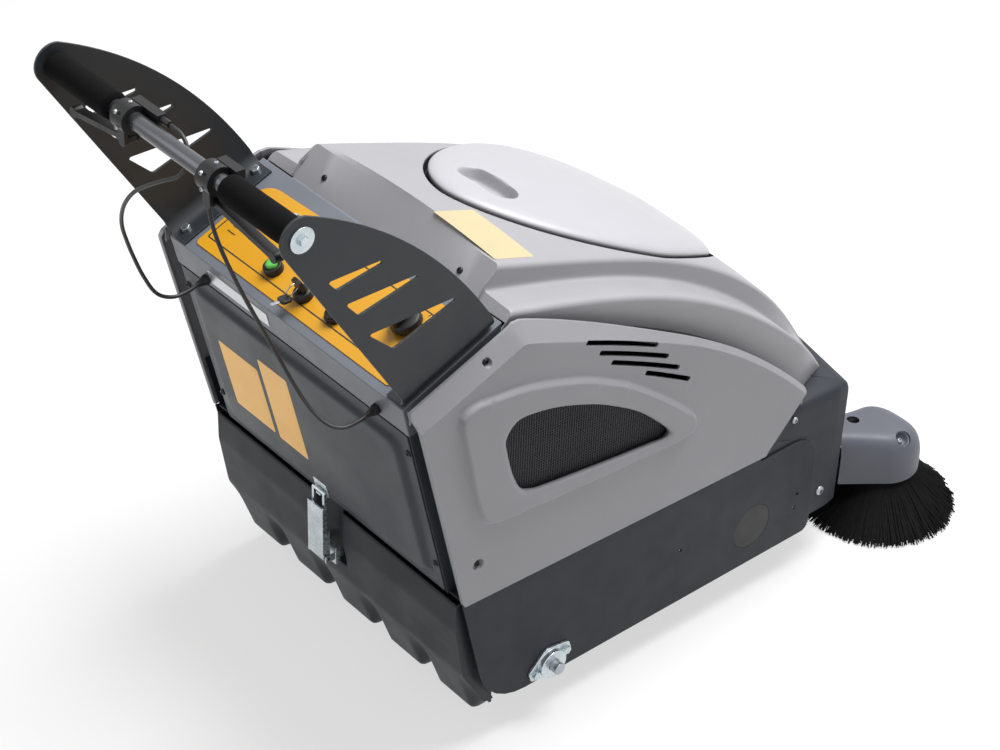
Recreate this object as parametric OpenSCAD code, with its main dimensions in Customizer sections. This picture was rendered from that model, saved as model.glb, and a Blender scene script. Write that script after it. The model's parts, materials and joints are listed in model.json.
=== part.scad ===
// Walk-behind floor sweeper: a hood and side covers over a roller brush, a side brush, a rear hopper
// and two drive wheels, pushed by a handlebar that stands on a tilted control console.
// X runs to the right, Y forwards and Z up. The origin is on the floor under the middle of the axle.

/* [Body] */
// Width over the two side plates
body_w = 622; // [518:1:747]
// From the drive axle back to the lower rear corner of the side covers
rear_len = 176; // [146:1:212]
// From the drive axle to the front edge of the side plates
front_len = 573; // [477:1:688]
// Height of the side plates' lower edge above the floor
plate_clear = 70; // [58:1:84]
// Angle by which the rear of the machine leans backwards
rear_lean = 13.4; // [11.1:0.1:16.1]
// Height of the rear panel, from the hopper seam to the console strip
panel_h = 321; // [267:1:386]
// Width of the sloping shoulder outside the hood, on each side
shoulder_w = 35; // [29:1:42]
// Width of the ledge between the hood's plateau and its lower tier
ledge_w = 64; // [53:1:77]

/* [Walls] */
// Thickness of the steel side plates, deck and rear panel
plate_t = 3; // [2.5:0.1:3.6]
// Wall of the plastic side covers and the front cowl
cover_t = 4; // [3.3:0.1:4.8]
// Wall of the hood and the lid
hood_t = 4; // [3.3:0.1:4.8]
// Wall of the hopper
hopper_t = 4; // [3.3:0.1:4.8]
// Wall of the console box
console_t = 3; // [2.5:0.1:3.6]

/* [Console and handle] */
// Height of the strip under the console's rear edge
strip_h = 50; // [41:1:60]
// Length of the console's top, measured level
console_len = 172; // [143:1:207]
// Tilt of the console's top
console_tilt = 23; // [19:0.5:28]
// Height of the handlebar above the console's rear edge
handle_rise = 339; // [282:1:407]
// Distance of the handlebar behind the console's rear edge
handle_reach = 166; // [138:1:200]
// Outer diameter of the handlebar tube
tube_d = 25; // [20.5:0.5:30]
// Outer diameter of the foam grips
grip_d = 42; // [35:1:51]
// Thickness of the handle plates
handle_t = 4; // [3.2:0.2:4.8]

/* [Wheels and brushes] */
// Diameter of the drive wheels
wheel_d = 200; // [166:1:240]
// Width of the drive wheels' tyres
tyre_w = 50; // [41:1:60]
// Diameter of the drive axle
axle_d = 20; // [16:1:24]
// Diameter of the roller brush
brush_d = 284; // [236:1:341]
// Diameter of the roller brush's core
core_d = 90; // [75:1:108]
// Diameter of the side brush at the floor
sweep_d = 288; // [240:1:346]
// Diameter of the dome over the side brush
dome_d = 134; // [112:1:161]
// Diameter of the front castor's wheel
castor_d = 80; // [66:1:96]

/* [Hood and lid] */
// Height of the hood's plateau above the console's rear edge
hood_rise = 112; // [93:1:135]
// Length of the lid
lid_l = 532; // [443:1:638]
// Width of the lid
lid_w = 380; // [317:1:400]

/* [Hidden] */
$fn = 48;

// Clearances shared by all pieces
fit = 0.05;
gap = 0.3;
slack = 1;
over = 1;
bend_steps = 6;
curve_steps = 22;

// Heights and depths that the driving sizes settle
wheel_r = wheel_d / 2;
axle_r = axle_d / 2;
brush_r = brush_d / 2;
brush_floor_gap = 3;
tunnel_gap = 13;
brush_set_back = 138;
brush_y = front_len - brush_set_back;
brush_z = brush_r + brush_floor_gap;
tunnel_r = brush_r + tunnel_gap + plate_t;
seam_z = brush_z + tunnel_r;
strip_z = seam_z + panel_h;
console_z = strip_z + strip_h;
console_y = rear_y(console_z);
console_far_y = console_y + console_len;
console_far_z = console_z + console_len * tan(console_tilt);
console_run = console_len / cos(console_tilt);
plate_x = body_w / 2;
plate_in_x = plate_x - plate_t;
cover_x = plate_x + cover_t;
shelf_x = plate_x - shoulder_w;
cover_in_x = shelf_x + 3 * slack;
console_x = shelf_x + slack;
plateau_x = shelf_x - ledge_w;
handle_in_x = cover_in_x;
handle_x = handle_in_x + handle_t;
handle_y = console_y - handle_reach;
handle_z = console_z + handle_rise;
tube_r = tube_d / 2;
grip_r = grip_d / 2;

// Rear plane of the machine at a height
function rear_y(z) = -rear_len - (z - seam_z) * tan(rear_lean);
function unit(v) = v / norm(v);
function mirrored(points) = [for (p = points) [-p[0], p[1]]];
function reversed(list) = [for (i = [len(list) - 1 : -1 : 0]) list[i]];

// Corner of an outline turned into an arc of radius r
function corner_arc(a, p, b, r) =
    let (u = unit(a - p), v = unit(b - p), half = acos(u * v) / 2,
         c = p + unit(u + v) * r / sin(half), s = p + u * r / tan(half) - c, e = p + v * r / tan(half) - c,
         from = atan2(s[1], s[0]), turn = atan2(cross(s, e), s * e))
    [for (i = [0 : bend_steps]) c + r * [cos(from + turn * i / bend_steps),
        sin(from + turn * i / bend_steps)]];

// Outline whose corners are given as [across, up, radius]
function rounded(corners) =
    let (n = len(corners), at = function (i) [corners[(i + n) % n][0], corners[(i + n) % n][1]])
    [for (i = [0 : n - 1]) each corners[i][2] == 0 ? [at(i)] :
        corner_arc(at(i - 1), at(i), at(i + 1), corners[i][2])];

// Outline drawn in Y and Z, extruded along X from x0
module sheet(x0, t) {
    translate([x0, 0, 0]) rotate([90, 0, 90]) linear_extrude(t) children();
}

// Outline drawn in Y and Z, extruded across the machine
module across(half_w) {
    sheet(-half_w, 2 * half_w) children();
}

module both_sides() {
    children();
    mirror([1, 0, 0]) children();
}

module rod_x(x0, x1, y, z, r) {
    translate([x0, y, z]) rotate([0, 90, 0]) cylinder(h = x1 - x0, r = r);
}

// Frame whose Y runs up the console's top from its rear edge and whose Z stands square to it
module on_console(x, run, height = 0) {
    translate([0, console_y, console_z]) rotate([console_tilt, 0, 0]) translate([x, run, height]) children();
}

// Frame whose Z runs up the leaning rear from the seam and whose Y points into the machine
module on_rear(x, up, inward = 0) {
    translate([0, rear_y(seam_z), seam_z]) rotate([rear_lean, 0, 0]) translate([x, inward, up]) children();
}

// Side plates
plate_brow_drop = 28;
plate_brow_z = seam_z - plate_brow_drop;
plate_brow_r = 55;
plate_nose_r = 12;
plate_heel_r = 95;
plate_top_rise = 97;
plate_top_z = seam_z + plate_top_rise;
plate_neck_back = 133;
plate_neck_y = front_len - plate_neck_back;
plate_neck_step = 20;
plate_rear_inset = 8;
bearing_hole_wall = 8;
bearing_hole_r = axle_r + bearing_hole_wall;
plug_r = 41;
plate_hole_r = 3;
plate_hole_shares = [[0.476, 0.459], [0.942, 0.386], [0.934, 0.27]];

module plate_outline() {
    polygon(rounded([
        [front_len, plate_clear, plate_nose_r],
        [front_len, plate_brow_z, plate_brow_r],
        [plate_neck_y, plate_brow_z, 0],
        [plate_neck_y - plate_neck_step, plate_top_z, 0],
        [rear_y(plate_top_z) + plate_rear_inset, plate_top_z, 0],
        [rear_y(seam_z) + plate_rear_inset, seam_z, 0],
        [rear_y(seam_z), seam_z, 0],
        [rear_y(plate_clear), plate_clear, plate_heel_r]]));
}

module side_plate() {
    difference() {
        sheet(plate_in_x, plate_t) plate_outline();
        rod_x(plate_in_x - over, plate_x + over, 0, wheel_r, bearing_hole_r);
        rod_x(plate_in_x - over, plate_x + over, brush_y, brush_z, plug_r);
        for (p = plate_hole_shares) rod_x(plate_in_x - over, plate_x + over, front_len * p[0],
            plate_clear + (seam_z - plate_clear) * p[1], plate_hole_r);
    }
}

module right_side_plate() {
    color("#3b3e46") side_plate();
}

module left_side_plate() {
    color("#3b3e46") mirror([1, 0, 0]) side_plate();
}

// Round plugs that close the access holes over the ends of the roller brush
plug_lip = 6;

module side_plate_plugs() {
    color("#2c2d31") both_sides() {
        rod_x(plate_in_x, plate_x, brush_y, brush_z, plug_r - gap);
        rod_x(plate_in_x - plate_t, plate_in_x, brush_y, brush_z, plug_r + plug_lip);
    }
}

// Deck with the brush tunnel, the front shelf for the castor, and the posts behind the rear panel
tunnel_front_deg = -5;
cowl_nose = 127;
cowl_y = front_len + cowl_nose;
shelf_rise = 5;
shelf_z = brush_z + shelf_rise;
post_w = 18;
post_d = 20;
post_sink = 5;
post_share = 0.6;
deck_rear_gap = 6;
filter_x0 = -185;
filter_x1 = 95;
filter_y0 = -80;
filter_y1 = 140;
filter_rim = 12;
belt_slot_in = 46;
belt_slot_out = 16;
belt_slot_front = 25;
belt_slot_rear = 145;
castor_back = 30;
castor_y = cowl_y - castor_back;
stem_r = 8;

// Hinge of the side brush arm, carried by two ears on the shelf
sweep_in = 41;
sweep_x = plate_x - sweep_in;
sweep_ahead = 97;
sweep_y = cowl_y + sweep_ahead;
arm_in = 30;
arm_x = sweep_x - arm_in;
arm_hinge_ahead = 67;
arm_hinge_y = front_len + arm_hinge_ahead;
arm_hinge_rise = 16;
arm_hinge_z = shelf_z + arm_hinge_rise;
arm_pin_r = 5;
arm_half = 24;
ear_t = 12;
ear_r = 10;
ear_x = arm_half + slack;

module tunnel_profile() {
    difference() {
        translate([brush_y, brush_z]) circle(tunnel_r);
        translate([brush_y, brush_z]) circle(tunnel_r - plate_t);
        translate([brush_y - 2 * tunnel_r, brush_z - 2 * tunnel_r]) square([2 * tunnel_r, 4 * tunnel_r]);
        translate([brush_y, brush_z]) rotate(tunnel_front_deg) translate([0, -2 * tunnel_r])
            square([2 * tunnel_r, 2 * tunnel_r]);
    }
}

module arm_ears() {
    for (x = [arm_x - ear_x - ear_t, arm_x + ear_x]) {
        rod_x(x, x + ear_t, arm_hinge_y, arm_hinge_z, ear_r);
        translate([x, arm_hinge_y - ear_r, shelf_z]) cube([ear_t, 2 * ear_r, arm_hinge_z - shelf_z]);
    }
    rod_x(arm_x - ear_x - ear_t, arm_x + ear_x + ear_t, arm_hinge_y, arm_hinge_z, arm_pin_r);
}

module chassis_deck() {
    color("#34373d") {
        difference() {
            union() {
                across(plate_in_x) tunnel_profile();
                across(plate_in_x) translate([rear_y(seam_z) + deck_rear_gap, seam_z - plate_t])
                    square([brush_y - rear_y(seam_z) - deck_rear_gap, plate_t]);
            }
            translate([filter_x0 + filter_rim, filter_y0 + filter_rim, seam_z - plate_t - over])
                cube([filter_x1 - filter_x0 - 2 * filter_rim, filter_y1 - filter_y0 - 2 * filter_rim,
                    plate_t + 2 * over]);
            both_sides() translate([plate_in_x - cover_t - slack, front_len - slack, 0])
                cube([plate_x, tunnel_r, seam_z]);
            translate([-plate_x + belt_slot_out, brush_y - belt_slot_rear, brush_z])
                cube([belt_slot_in - belt_slot_out, belt_slot_rear - belt_slot_front, tunnel_r + over]);
        }
        difference() {
            translate([0, 0, shelf_z]) linear_extrude(plate_t) difference() {
                cowl_plan(cover_t + slack);
                translate([-plate_x, 0]) square([body_w, brush_y + tunnel_r - plate_t]);
            }
            translate([0, castor_y, shelf_z - over]) cylinder(h = plate_t + 2 * over, r = stem_r + fit);
        }
        arm_ears();
        both_sides() on_rear(console_x - plate_t - post_w - slack, -post_sink, plate_t)
            cube([post_w, post_d, panel_run + post_sink + strip_h * post_share]);
    }
}

// Rubber skirt that hangs in front of the roller brush
skirt_t = 4;
skirt_floor_gap = 4;
skirt_in = 58;
skirt_x = plate_in_x - skirt_in;

module front_skirt() {
    color("#1d1d1f") translate([-skirt_x, brush_y + tunnel_r + gap, skirt_floor_gap])
        cube([2 * skirt_x, skirt_t, shelf_z - skirt_floor_gap]);
}

// Front cowl, a bumper with slanting corners between the side plates
cowl_floor_rise = 15;
cowl_floor_z = castor_d + cowl_floor_rise;
cowl_top_rise = 27;
cowl_top_z = seam_z + cowl_top_rise;
cowl_rear_back = 133;
cowl_rear_y = front_len - cowl_rear_back;
cowl_corner_ahead = 27;
cowl_corner_y = front_len + cowl_corner_ahead;
cowl_cheek_in = 23;
cowl_cheek_x = plate_in_x - cowl_cheek_in;
cowl_cheek_ahead = 82;
cowl_cheek_y = front_len + cowl_cheek_ahead;
cowl_brow_in = 158;
cowl_brow_x = plate_in_x - cowl_brow_in;
cowl_brow_ahead = 117;
cowl_brow_y = front_len + cowl_brow_ahead;
arm_window_side = 3;
arm_window_down = 3;
arm_window_up = 44;

function cowl_side(t) = [
    [plate_in_x - t, cowl_rear_y - (t > 0 ? over : 0)], [plate_in_x - t, cowl_corner_y - t / 2],
    [cowl_cheek_x - t, cowl_cheek_y - t], [cowl_brow_x - t / 2, cowl_brow_y - t], [0, cowl_y - t]];

module cowl_plan(t) {
    polygon(concat(cowl_side(t), reversed(mirrored(cowl_side(t)))));
}

module front_cowl() {
    color("#4a4d55") difference() {
        translate([0, 0, cowl_floor_z]) linear_extrude(cowl_top_z - cowl_floor_z) cowl_plan(0);
        translate([0, 0, cowl_floor_z - over]) linear_extrude(cowl_top_z - cowl_floor_z + over - cover_t)
            cowl_plan(cover_t);
        translate([-plate_x, cowl_rear_y - over, cowl_floor_z - over])
            cube([body_w, front_len - cowl_rear_y + over, plate_brow_z - cowl_floor_z + over]);
        translate([-plate_in_x + cover_t, cowl_rear_y - over, plate_brow_z])
            cube([2 * (plate_in_x - cover_t), front_len - cowl_rear_y, cowl_top_z - plate_brow_z + over]);
        rod_x(-plate_x, plate_x, brush_y, brush_z, tunnel_r + slack);
        across(plate_x) polygon([[0, seam_z - cover_front_drop - 2 * slack],
            [cover_front_y + 2 * slack, seam_z - cover_front_drop - 2 * slack],
            [cover_tip_y + 2 * slack, cover_top(cover_tip_y, 0)], [cover_tip_y, hood_z], [0, hood_z]]);
        translate([arm_x - arm_half - arm_window_side, arm_hinge_y, arm_hinge_z - ear_r - arm_window_down])
            cube([2 * (arm_half + arm_window_side), cowl_nose, arm_window_up]);
    }
}

// Falling lines of the hood: the plateau's edge, the lower tier's edge and the lower rim
hood_z = console_z + hood_rise;
hood_foot_ahead = 8;
hood_foot_y = console_far_y + hood_foot_ahead;
hood_foot_drop = 6;
hood_foot_z = console_far_z - hood_foot_drop;
hood_rear_ahead = 42;
hood_rear_y = hood_foot_y + hood_rear_ahead;
hood_front_ahead = 87;
hood_front_y = front_len + hood_front_ahead;
hood_nose_rise = 6;
hood_nose_z = cowl_top_z + hood_nose_rise;
tier_drop = 31;
tier_z = hood_z - tier_drop;
tier_ahead = 15;
tier_y = hood_foot_y + tier_ahead;
tier_front_back = 20;
tier_front_y = hood_front_y - tier_front_back;
rim_drop = 45;
rim_z = hood_z - rim_drop;
rim_ahead = 12;
rim_y = hood_foot_y + rim_ahead;
rim_front_back = 32;
rim_front_y = hood_front_y - rim_front_back;
plateau_fall_shares = [0.52, 0.48];
tier_fall_shares = [0.45, 0.55];
rim_fall_shares = [0.57, 0.43];
rim_nose_drop = 64;

function fall(y, y0, y1, z0, z1, shares, power) =
    let (t = max(0, min(1, (y - y0) / (y1 - y0))))
    z0 - (z0 - z1) * (shares[0] * t + shares[1] * pow(t, power));
function plateau_line(y) = fall(y, hood_rear_y, hood_front_y, hood_z, hood_nose_z, plateau_fall_shares, 4);
function tier_line(y) = fall(y, tier_y, tier_front_y, tier_z, hood_nose_z, tier_fall_shares, 3);
function rim_line(y) = max(cowl_top_z,
    fall(y, rim_y, rim_front_y, rim_z, hood_nose_z - rim_nose_drop, rim_fall_shares, 3));
function steps(y0, y1) = [for (i = [0 : curve_steps]) y0 + (y1 - y0) * i / curve_steps];

module plateau_profile(t) {
    low = t > 0 ? -body_w : 0;
    polygon(concat([[hood_foot_y + 1.5 * t, hood_foot_z + low]], [[hood_foot_y + 1.5 * t, hood_foot_z]],
        [for (y = steps(hood_rear_y, hood_front_y - t)) [y, plateau_line(y) - t]],
        [for (y = steps(hood_front_y - t, rim_y + t)) [y, rim_line(y) + low]]));
}

module tier_profile(t) {
    low = t > 0 ? -body_w : 0;
    polygon(concat([for (y = steps(tier_y + t, tier_front_y - t)) [y, tier_line(y) - t]],
        [for (y = steps(tier_front_y - t, rim_y + t)) [y, rim_line(y) + low]]));
}

// Oval of the lid in plan, blunter at its rear end
lid_rear_gap = 76;
lid_y0 = hood_rear_y + lid_rear_gap;
lid_mid_y = lid_y0 + lid_l / 2;
lid_seat = 14;
lid_h = 14;
lid_power = 1.8;
lid_steps = 40;

module lid_oval(inset) {
    a = lid_w / 2 - inset;
    b = lid_l / 2 - inset;
    polygon([for (i = [0 : lid_steps - 1]) let (d = 360 * i / lid_steps)
        [a * sign(cos(d)) * pow(abs(cos(d)), 2 / lid_power),
         lid_mid_y + b * sign(sin(d)) * pow(abs(sin(d)), 2 / lid_power)]]);
}

// Hinge of the lid, at its front end
lid_hinge_ahead = 10;
lid_hinge_y = lid_y0 + lid_l + lid_hinge_ahead;
lid_hinge_rise = 14;
lid_hinge_z = plateau_line(lid_hinge_y) + lid_hinge_rise;
lid_pin_r = 3;
lid_knuckle_r = 6;
lid_knuckle_half = 30;
lid_lug_t = 12;

module hood() {
    color("#a3a2a6") difference() {
        union() {
            across(plateau_x) plateau_profile(0);
            across(shelf_x) tier_profile(0);
        }
        across(plateau_x - hood_t) plateau_profile(hood_t);
        across(shelf_x - hood_t) tier_profile(hood_t);
        translate([0, 0, seam_z]) linear_extrude(hood_z) lid_oval(lid_seat);
    }
    color("#a3a2a6") both_sides() translate([lid_knuckle_half + slack, 0, 0]) {
        rod_x(0, lid_lug_t, lid_hinge_y, lid_hinge_z, lid_knuckle_r);
        sheet(0, lid_lug_t) polygon([[lid_hinge_y - lid_knuckle_r, lid_hinge_z],
            [lid_hinge_y - lid_knuckle_r, plateau_line(lid_hinge_y - lid_knuckle_r) - hood_t / 2],
            [lid_hinge_y + lid_knuckle_r, plateau_line(lid_hinge_y + lid_knuckle_r) - hood_t / 2],
            [lid_hinge_y + lid_knuckle_r, lid_hinge_z]]);
    }
    color("#a3a2a6") rod_x(-lid_knuckle_half - slack - lid_lug_t, lid_knuckle_half + slack + lid_lug_t,
        lid_hinge_y, lid_hinge_z, lid_pin_r);
}

// Lid over the filter, with a finger recess near its rear end
recess_ahead = 72;
recess_y = lid_y0 + recess_ahead;
recess_w = 104;
recess_d = 46;
recess_h = 8;
recess_tilt = atan2(plateau_line(recess_y + recess_d / 2) - plateau_line(recess_y - recess_d / 2), recess_d);

module filter_lid() {
    color("#c4c3c8") difference() {
        union() {
            intersection() {
                across(lid_w) polygon(concat(
                    [for (y = steps(lid_y0 - over, lid_y0 + lid_l + over)) [y, plateau_line(y) + lid_h]],
                    [for (y = steps(lid_y0 + lid_l + over, lid_y0 - over)) [y, plateau_line(y) + slack]]));
                translate([0, 0, seam_z]) linear_extrude(hood_z) lid_oval(0);
            }
            rod_x(-lid_knuckle_half, lid_knuckle_half, lid_hinge_y, lid_hinge_z, lid_knuckle_r);
            across(lid_knuckle_half) polygon([
                [lid_y0 + lid_l - 3 * lid_knuckle_r,
                    plateau_line(lid_y0 + lid_l - 3 * lid_knuckle_r) + lid_h / 2],
                [lid_y0 + lid_l - 3 * lid_knuckle_r,
                    plateau_line(lid_y0 + lid_l - 3 * lid_knuckle_r) + lid_h],
                [lid_hinge_y, lid_hinge_z + lid_knuckle_r], [lid_hinge_y, lid_hinge_z]]);
        }
        rod_x(-lid_knuckle_half - over, lid_knuckle_half + over, lid_hinge_y, lid_hinge_z, lid_pin_r + fit);
        translate([0, recess_y, plateau_line(recess_y) + lid_h - recess_h]) rotate([recess_tilt, 0, 0])
            linear_extrude(hood_z) {
                square([recess_w - recess_d, recess_d], center = true);
                for (s = [-1, 1]) translate([s * (recess_w - recess_d) / 2, 0]) circle(d = recess_d);
            }
    }
}

// Side covers with a raised frame around the window and four slanting vents
cover_front_back = 120;
cover_front_y = front_len - cover_front_back;
cover_front_drop = 19;
cover_tip_back = 36;
cover_tip_y = front_len - cover_tip_back;
cover_crease_drop = 6;
cover_rear_drop = 13;
cover_rear_z = console_z - cover_rear_drop;
cover_corner_ahead = 4;
cover_corner_y = hood_foot_y + cover_corner_ahead;
frame_proud = 7;
window_ahead = 50;
window_y = rear_y(seam_z) + window_ahead;
window_rise = 140;
window_z = seam_z + window_rise;
window_w = 360;
window_h = 150;
window_shares = [[0.02, 1.13, 0.13], [0.36, 1.05, 1.3], [0.74, 0.52, 1.3], [0.97, 0, 0.06], [0.06, 0.1,
    0.33]];
frame_shares = [[-0.21, 1.45, 0.19], [0.27, 1.37, 1.3], [0.68, 0.97, 1], [1.1, 0.03, 0.11],
    [1.1, -0.21, 0.11], [-0.11, -0.02, 0.5]];
vent_ahead = 230;
vent_y = window_y + vent_ahead;
vent_rise = 207;
vent_z = window_z + vent_rise;
vent_run = 154;
vent_h = 8;
vent_tilt = -23;
vent_step_shares = [[0, 0, 1], [0.17, -0.18, 1], [0.33, -0.37, 1], [0.79, -0.66, 0.7]];

function window_points(shares) = rounded([for (s = shares)
    [window_y + s[0] * window_w, window_z + s[1] * window_h, s[2] * window_h]]);

function cover_top(y, t) = rim_line(y) - cover_crease_drop - t;

module cover_outline(t) {
    low = t > 0 ? plate_clear : 0;
    polygon(concat(
        [[rear_y(seam_z) + t, seam_z - low], [cover_front_y - 1.5 * t, seam_z - cover_front_drop - low]],
        t > 0 ? [[cover_front_y - 1.5 * t, seam_z - cover_front_drop]] : [],
        [for (y = steps(cover_tip_y - 1.5 * t, cover_corner_y)) [y, cover_top(y, t)]],
        [[rear_y(cover_rear_z) + t, cover_rear_z - t]],
        t > 0 ? [[rear_y(seam_z) + t, seam_z]] : []));
}

module side_cover() {
    difference() {
        union() {
            sheet(cover_in_x, cover_x - cover_in_x) cover_outline(0);
            sheet(cover_x, frame_proud) polygon(window_points(frame_shares));
        }
        sheet(cover_in_x - over, cover_x - cover_in_x + over - cover_t) cover_outline(cover_t);
        sheet(cover_in_x, cover_x) polygon(window_points(window_shares));
        rod_x(0, plate_x, brush_y, brush_z, tunnel_r + slack);
        for (s = vent_step_shares)
            translate([0, vent_y + s[0] * vent_run, vent_z + s[1] * vent_run]) rotate([vent_tilt, 0, 0])
                translate([cover_x - 2 * cover_t, -vent_run / 2, -vent_h / 2])
                    cube([4 * cover_t, vent_run * s[2], vent_h]);
    }
}

module right_side_cover() {
    color("#8b8a8e") side_cover();
}

module left_side_cover() {
    color("#8b8a8e") mirror([1, 0, 0]) side_cover();
}

// Slit sheets behind the windows
grille_t = 2;
grille_lap_share = 0.04;
slit_pitch = 15;
slit_w = 8;
slit_rows = 23;

module window_grilles() {
    color("#232325") both_sides() difference() {
        sheet(cover_x - cover_t - grille_t, grille_t) polygon(window_points(
            [[-0.02, 1.21, 0.12], [0.37, 1.13, 1], [0.77, 0.57, 1], [1.04, -0.07, 0.06], [0.03, 0.01, 0.3]]));
        intersection() {
            for (i = [0 : slit_rows - 1]) translate([0, window_y + i * slit_pitch, window_z - window_h])
                cube([body_w, slit_w, 3 * window_h]);
            sheet(0, body_w) polygon(window_points(
                [[0.05, 1.05, 0.1], [0.36, 0.98, 1], [0.71, 0.47, 1], [0.9, 0.04, 0.05], [0.09, 0.17,
                    0.25]]));
        }
    }
}

// Console box, open below, on the rear posts
ledge_d = 17;
ledge_t = 5;

module control_console() {
    color("#5d6068") translate([-plateau_x, console_far_y - console_t, rim_z - ledge_t])
        cube([2 * plateau_x, ledge_d + console_t, ledge_t]);
    color("#5d6068") difference() {
        across(console_x) polygon([[console_y, console_z], [rear_y(strip_z), strip_z],
            [console_far_y, strip_z], [console_far_y, console_far_z]]);
        across(console_x - console_t) polygon([[console_y + console_t, console_z - 2 * console_t],
            [rear_y(strip_z) + console_t, strip_z], [rear_y(strip_z) + console_t, strip_z - over],
            [console_far_y - console_t, strip_z - over],
            [console_far_y - console_t, console_far_z - 2 * console_t]]);
    }
}

// Yellow fascia sheet with rounded corners
fascia_t = 1.5;
fascia_in = 47;
fascia_x = console_x - fascia_in;
fascia_run0 = 15;
fascia_run1 = 145;
fascia_corner_r = 8;
fascia_far_r = 34;

module control_fascia() {
    color("#dca62c") on_console(0, 0) linear_extrude(fascia_t) polygon(rounded([
        [-fascia_x, fascia_run0, fascia_corner_r], [fascia_x, fascia_run0, fascia_corner_r],
        [fascia_x, fascia_run1, fascia_far_r], [-fascia_x, fascia_run1, fascia_far_r]]));
}

// Controls on the fascia: gauge, key switch, socket, button, key and knob
gauge_in = 106;
gauge_x = -fascia_x + gauge_in;
gauge_back = 22;
gauge_run = fascia_run1 - gauge_back;
gauge_r = 19;
gauge_rim = 2.5;
gauge_h = 9;
switch_x = -2;
switch_ahead = 33;
switch_run = fascia_run0 + switch_ahead;
switch_r = 15;
switch_h = 13;
keyway_r = 5;
socket_x = 68;
socket_ahead = 35;
socket_run = fascia_run0 + socket_ahead;
socket_r = 14;
socket_h = 10;
button_x = -80;
button_ahead = 38;
button_run = fascia_run0 + button_ahead;
collar_r = 15;
collar_h = 12;
button_r = 9;
button_h = 11;
button_travel = 3;
knob_in = 62;
knob_x = fascia_x - knob_in;
knob_ahead = 89;
knob_run = fascia_run0 + knob_ahead;
knob_r = 24;
knob_h = 32;
knob_boss_r = 16;
knob_boss_h = 4;
knob_stem_r = 4;
knob_skirt_share = 0.4;
knob_grip_share = 0.35;

module hour_gauge() {
    color("#c8c8cc") on_console(gauge_x, gauge_run, fascia_t) difference() {
        cylinder(h = gauge_h, r = gauge_r);
        translate([0, 0, gauge_h - gauge_rim]) cylinder(h = gauge_rim + over, r = gauge_r - gauge_rim);
    }
}

module key_switch() {
    color("#1b1b1d") on_console(switch_x, switch_run, fascia_t) difference() {
        cylinder(h = switch_h, r = switch_r);
        translate([0, 0, keyway_r]) cylinder(h = switch_h, r = keyway_r + fit);
    }
}

module charge_socket() {
    color("#1b1b1d") on_console(socket_x, socket_run, fascia_t) {
        cylinder(h = socket_h, r = socket_r);
        translate([0, 0, socket_h]) cylinder(h = socket_h / 3, r = socket_r - 2 * slack);
    }
    color("#1b1b1d") on_console(button_x, button_run, fascia_t) difference() {
        cylinder(h = collar_h, r = collar_r);
        translate([0, 0, button_travel]) cylinder(h = collar_h, r = button_r + fit);
    }
    color("#1b1b1d") on_console(knob_x, knob_run, fascia_t) difference() {
        cylinder(h = knob_boss_h, r = knob_boss_r);
        translate([0, 0, slack]) cylinder(h = knob_boss_h, r = knob_stem_r + fit);
    }
}

module start_button() {
    color("#57b947") on_console(button_x, button_run, fascia_t + collar_h - button_h + 2 * button_travel)
        cylinder(h = button_h, r = button_r);
}

// Key in its switch, with a spare on the same ring lying down the strip
key_head_w = 22;
key_head_h = 24;
key_head_t = 7;
spare_reach = 30;
spare_head_r = 8;
spare_t = 3;
spare_blade_l = 14;
spare_blade_w = 5;
spare_lift = 14;

module ignition_key() {
    color("#1b1b1d") on_console(switch_x, switch_run, fascia_t) {
        translate([0, 0, keyway_r + slack]) cylinder(h = switch_h - keyway_r, r = keyway_r);
        translate([-key_head_w / 2, -key_head_t / 2, switch_h + slack / 2])
            cube([key_head_w, key_head_t, key_head_h]);
        translate([-spare_blade_w / 2, -spare_reach, spare_lift + slack]) cube([spare_blade_w,
            spare_reach, spare_t]);
        translate([0, -spare_reach, spare_lift + slack]) cylinder(h = spare_t, r = spare_head_r);
        translate([-spare_blade_w / 2, -spare_reach - spare_head_r - spare_blade_l / 2, spare_lift + slack])
            cube([spare_blade_w, spare_blade_l, spare_t]);
    }
}

module speed_knob() {
    color("#161618") on_console(knob_x, knob_run, fascia_t) {
        translate([0, 0, 2 * slack]) cylinder(h = knob_boss_h, r = knob_stem_r);
        translate([0, 0, knob_boss_h + gap]) cylinder(h = knob_h * knob_skirt_share, r = knob_r);
        translate([-knob_r * knob_grip_share, -knob_r, knob_boss_h + knob_h * knob_skirt_share])
            cube([2 * knob_r * knob_grip_share, 2 * knob_r, knob_h * (1 - knob_skirt_share)]);
    }
}

// Blank plate and cable glands on the strip under the console's edge
data_w = 146;
data_h = 24;
data_t = 1;
data_x = -185;
gland_x = 212;
gland_left_x = -194;
gland_rise = 14;
gland_up = panel_h / cos(rear_lean) + gland_rise;
gland_r = 8;
gland_l = 14;
gland_hole_r = 3.4;

module data_plate() {
    color("#cfd0d2") on_rear(data_x, panel_h / cos(rear_lean) + strip_h / 4, -data_t)
        cube([data_w, data_t, data_h]);
}

module cable_glands() {
    color("#1b1b1d") for (x = [gland_left_x, gland_x]) on_rear(x, gland_up) rotate([90, 0, 0]) {
        cylinder(h = gland_l, r = gland_r);
        translate([0, 0, gland_l]) cylinder(h = gland_l / 2, r1 = gland_r, r2 = gland_hole_r + slack);
    }
}

// Rear panel with a raised field inside a flat border
panel_border = 26;
panel_field = 6;
panel_run = panel_h / cos(rear_lean);

module rear_panel() {
    color("#4b4e55") {
        on_rear(-console_x, 2 * slack) cube([2 * console_x, plate_t, panel_run - 3 * slack]);
        on_rear(-console_x + panel_border, panel_border, -panel_field)
            cube([2 * (console_x - panel_border), panel_field, panel_run - 2 * panel_border]);
    }
}

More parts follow.
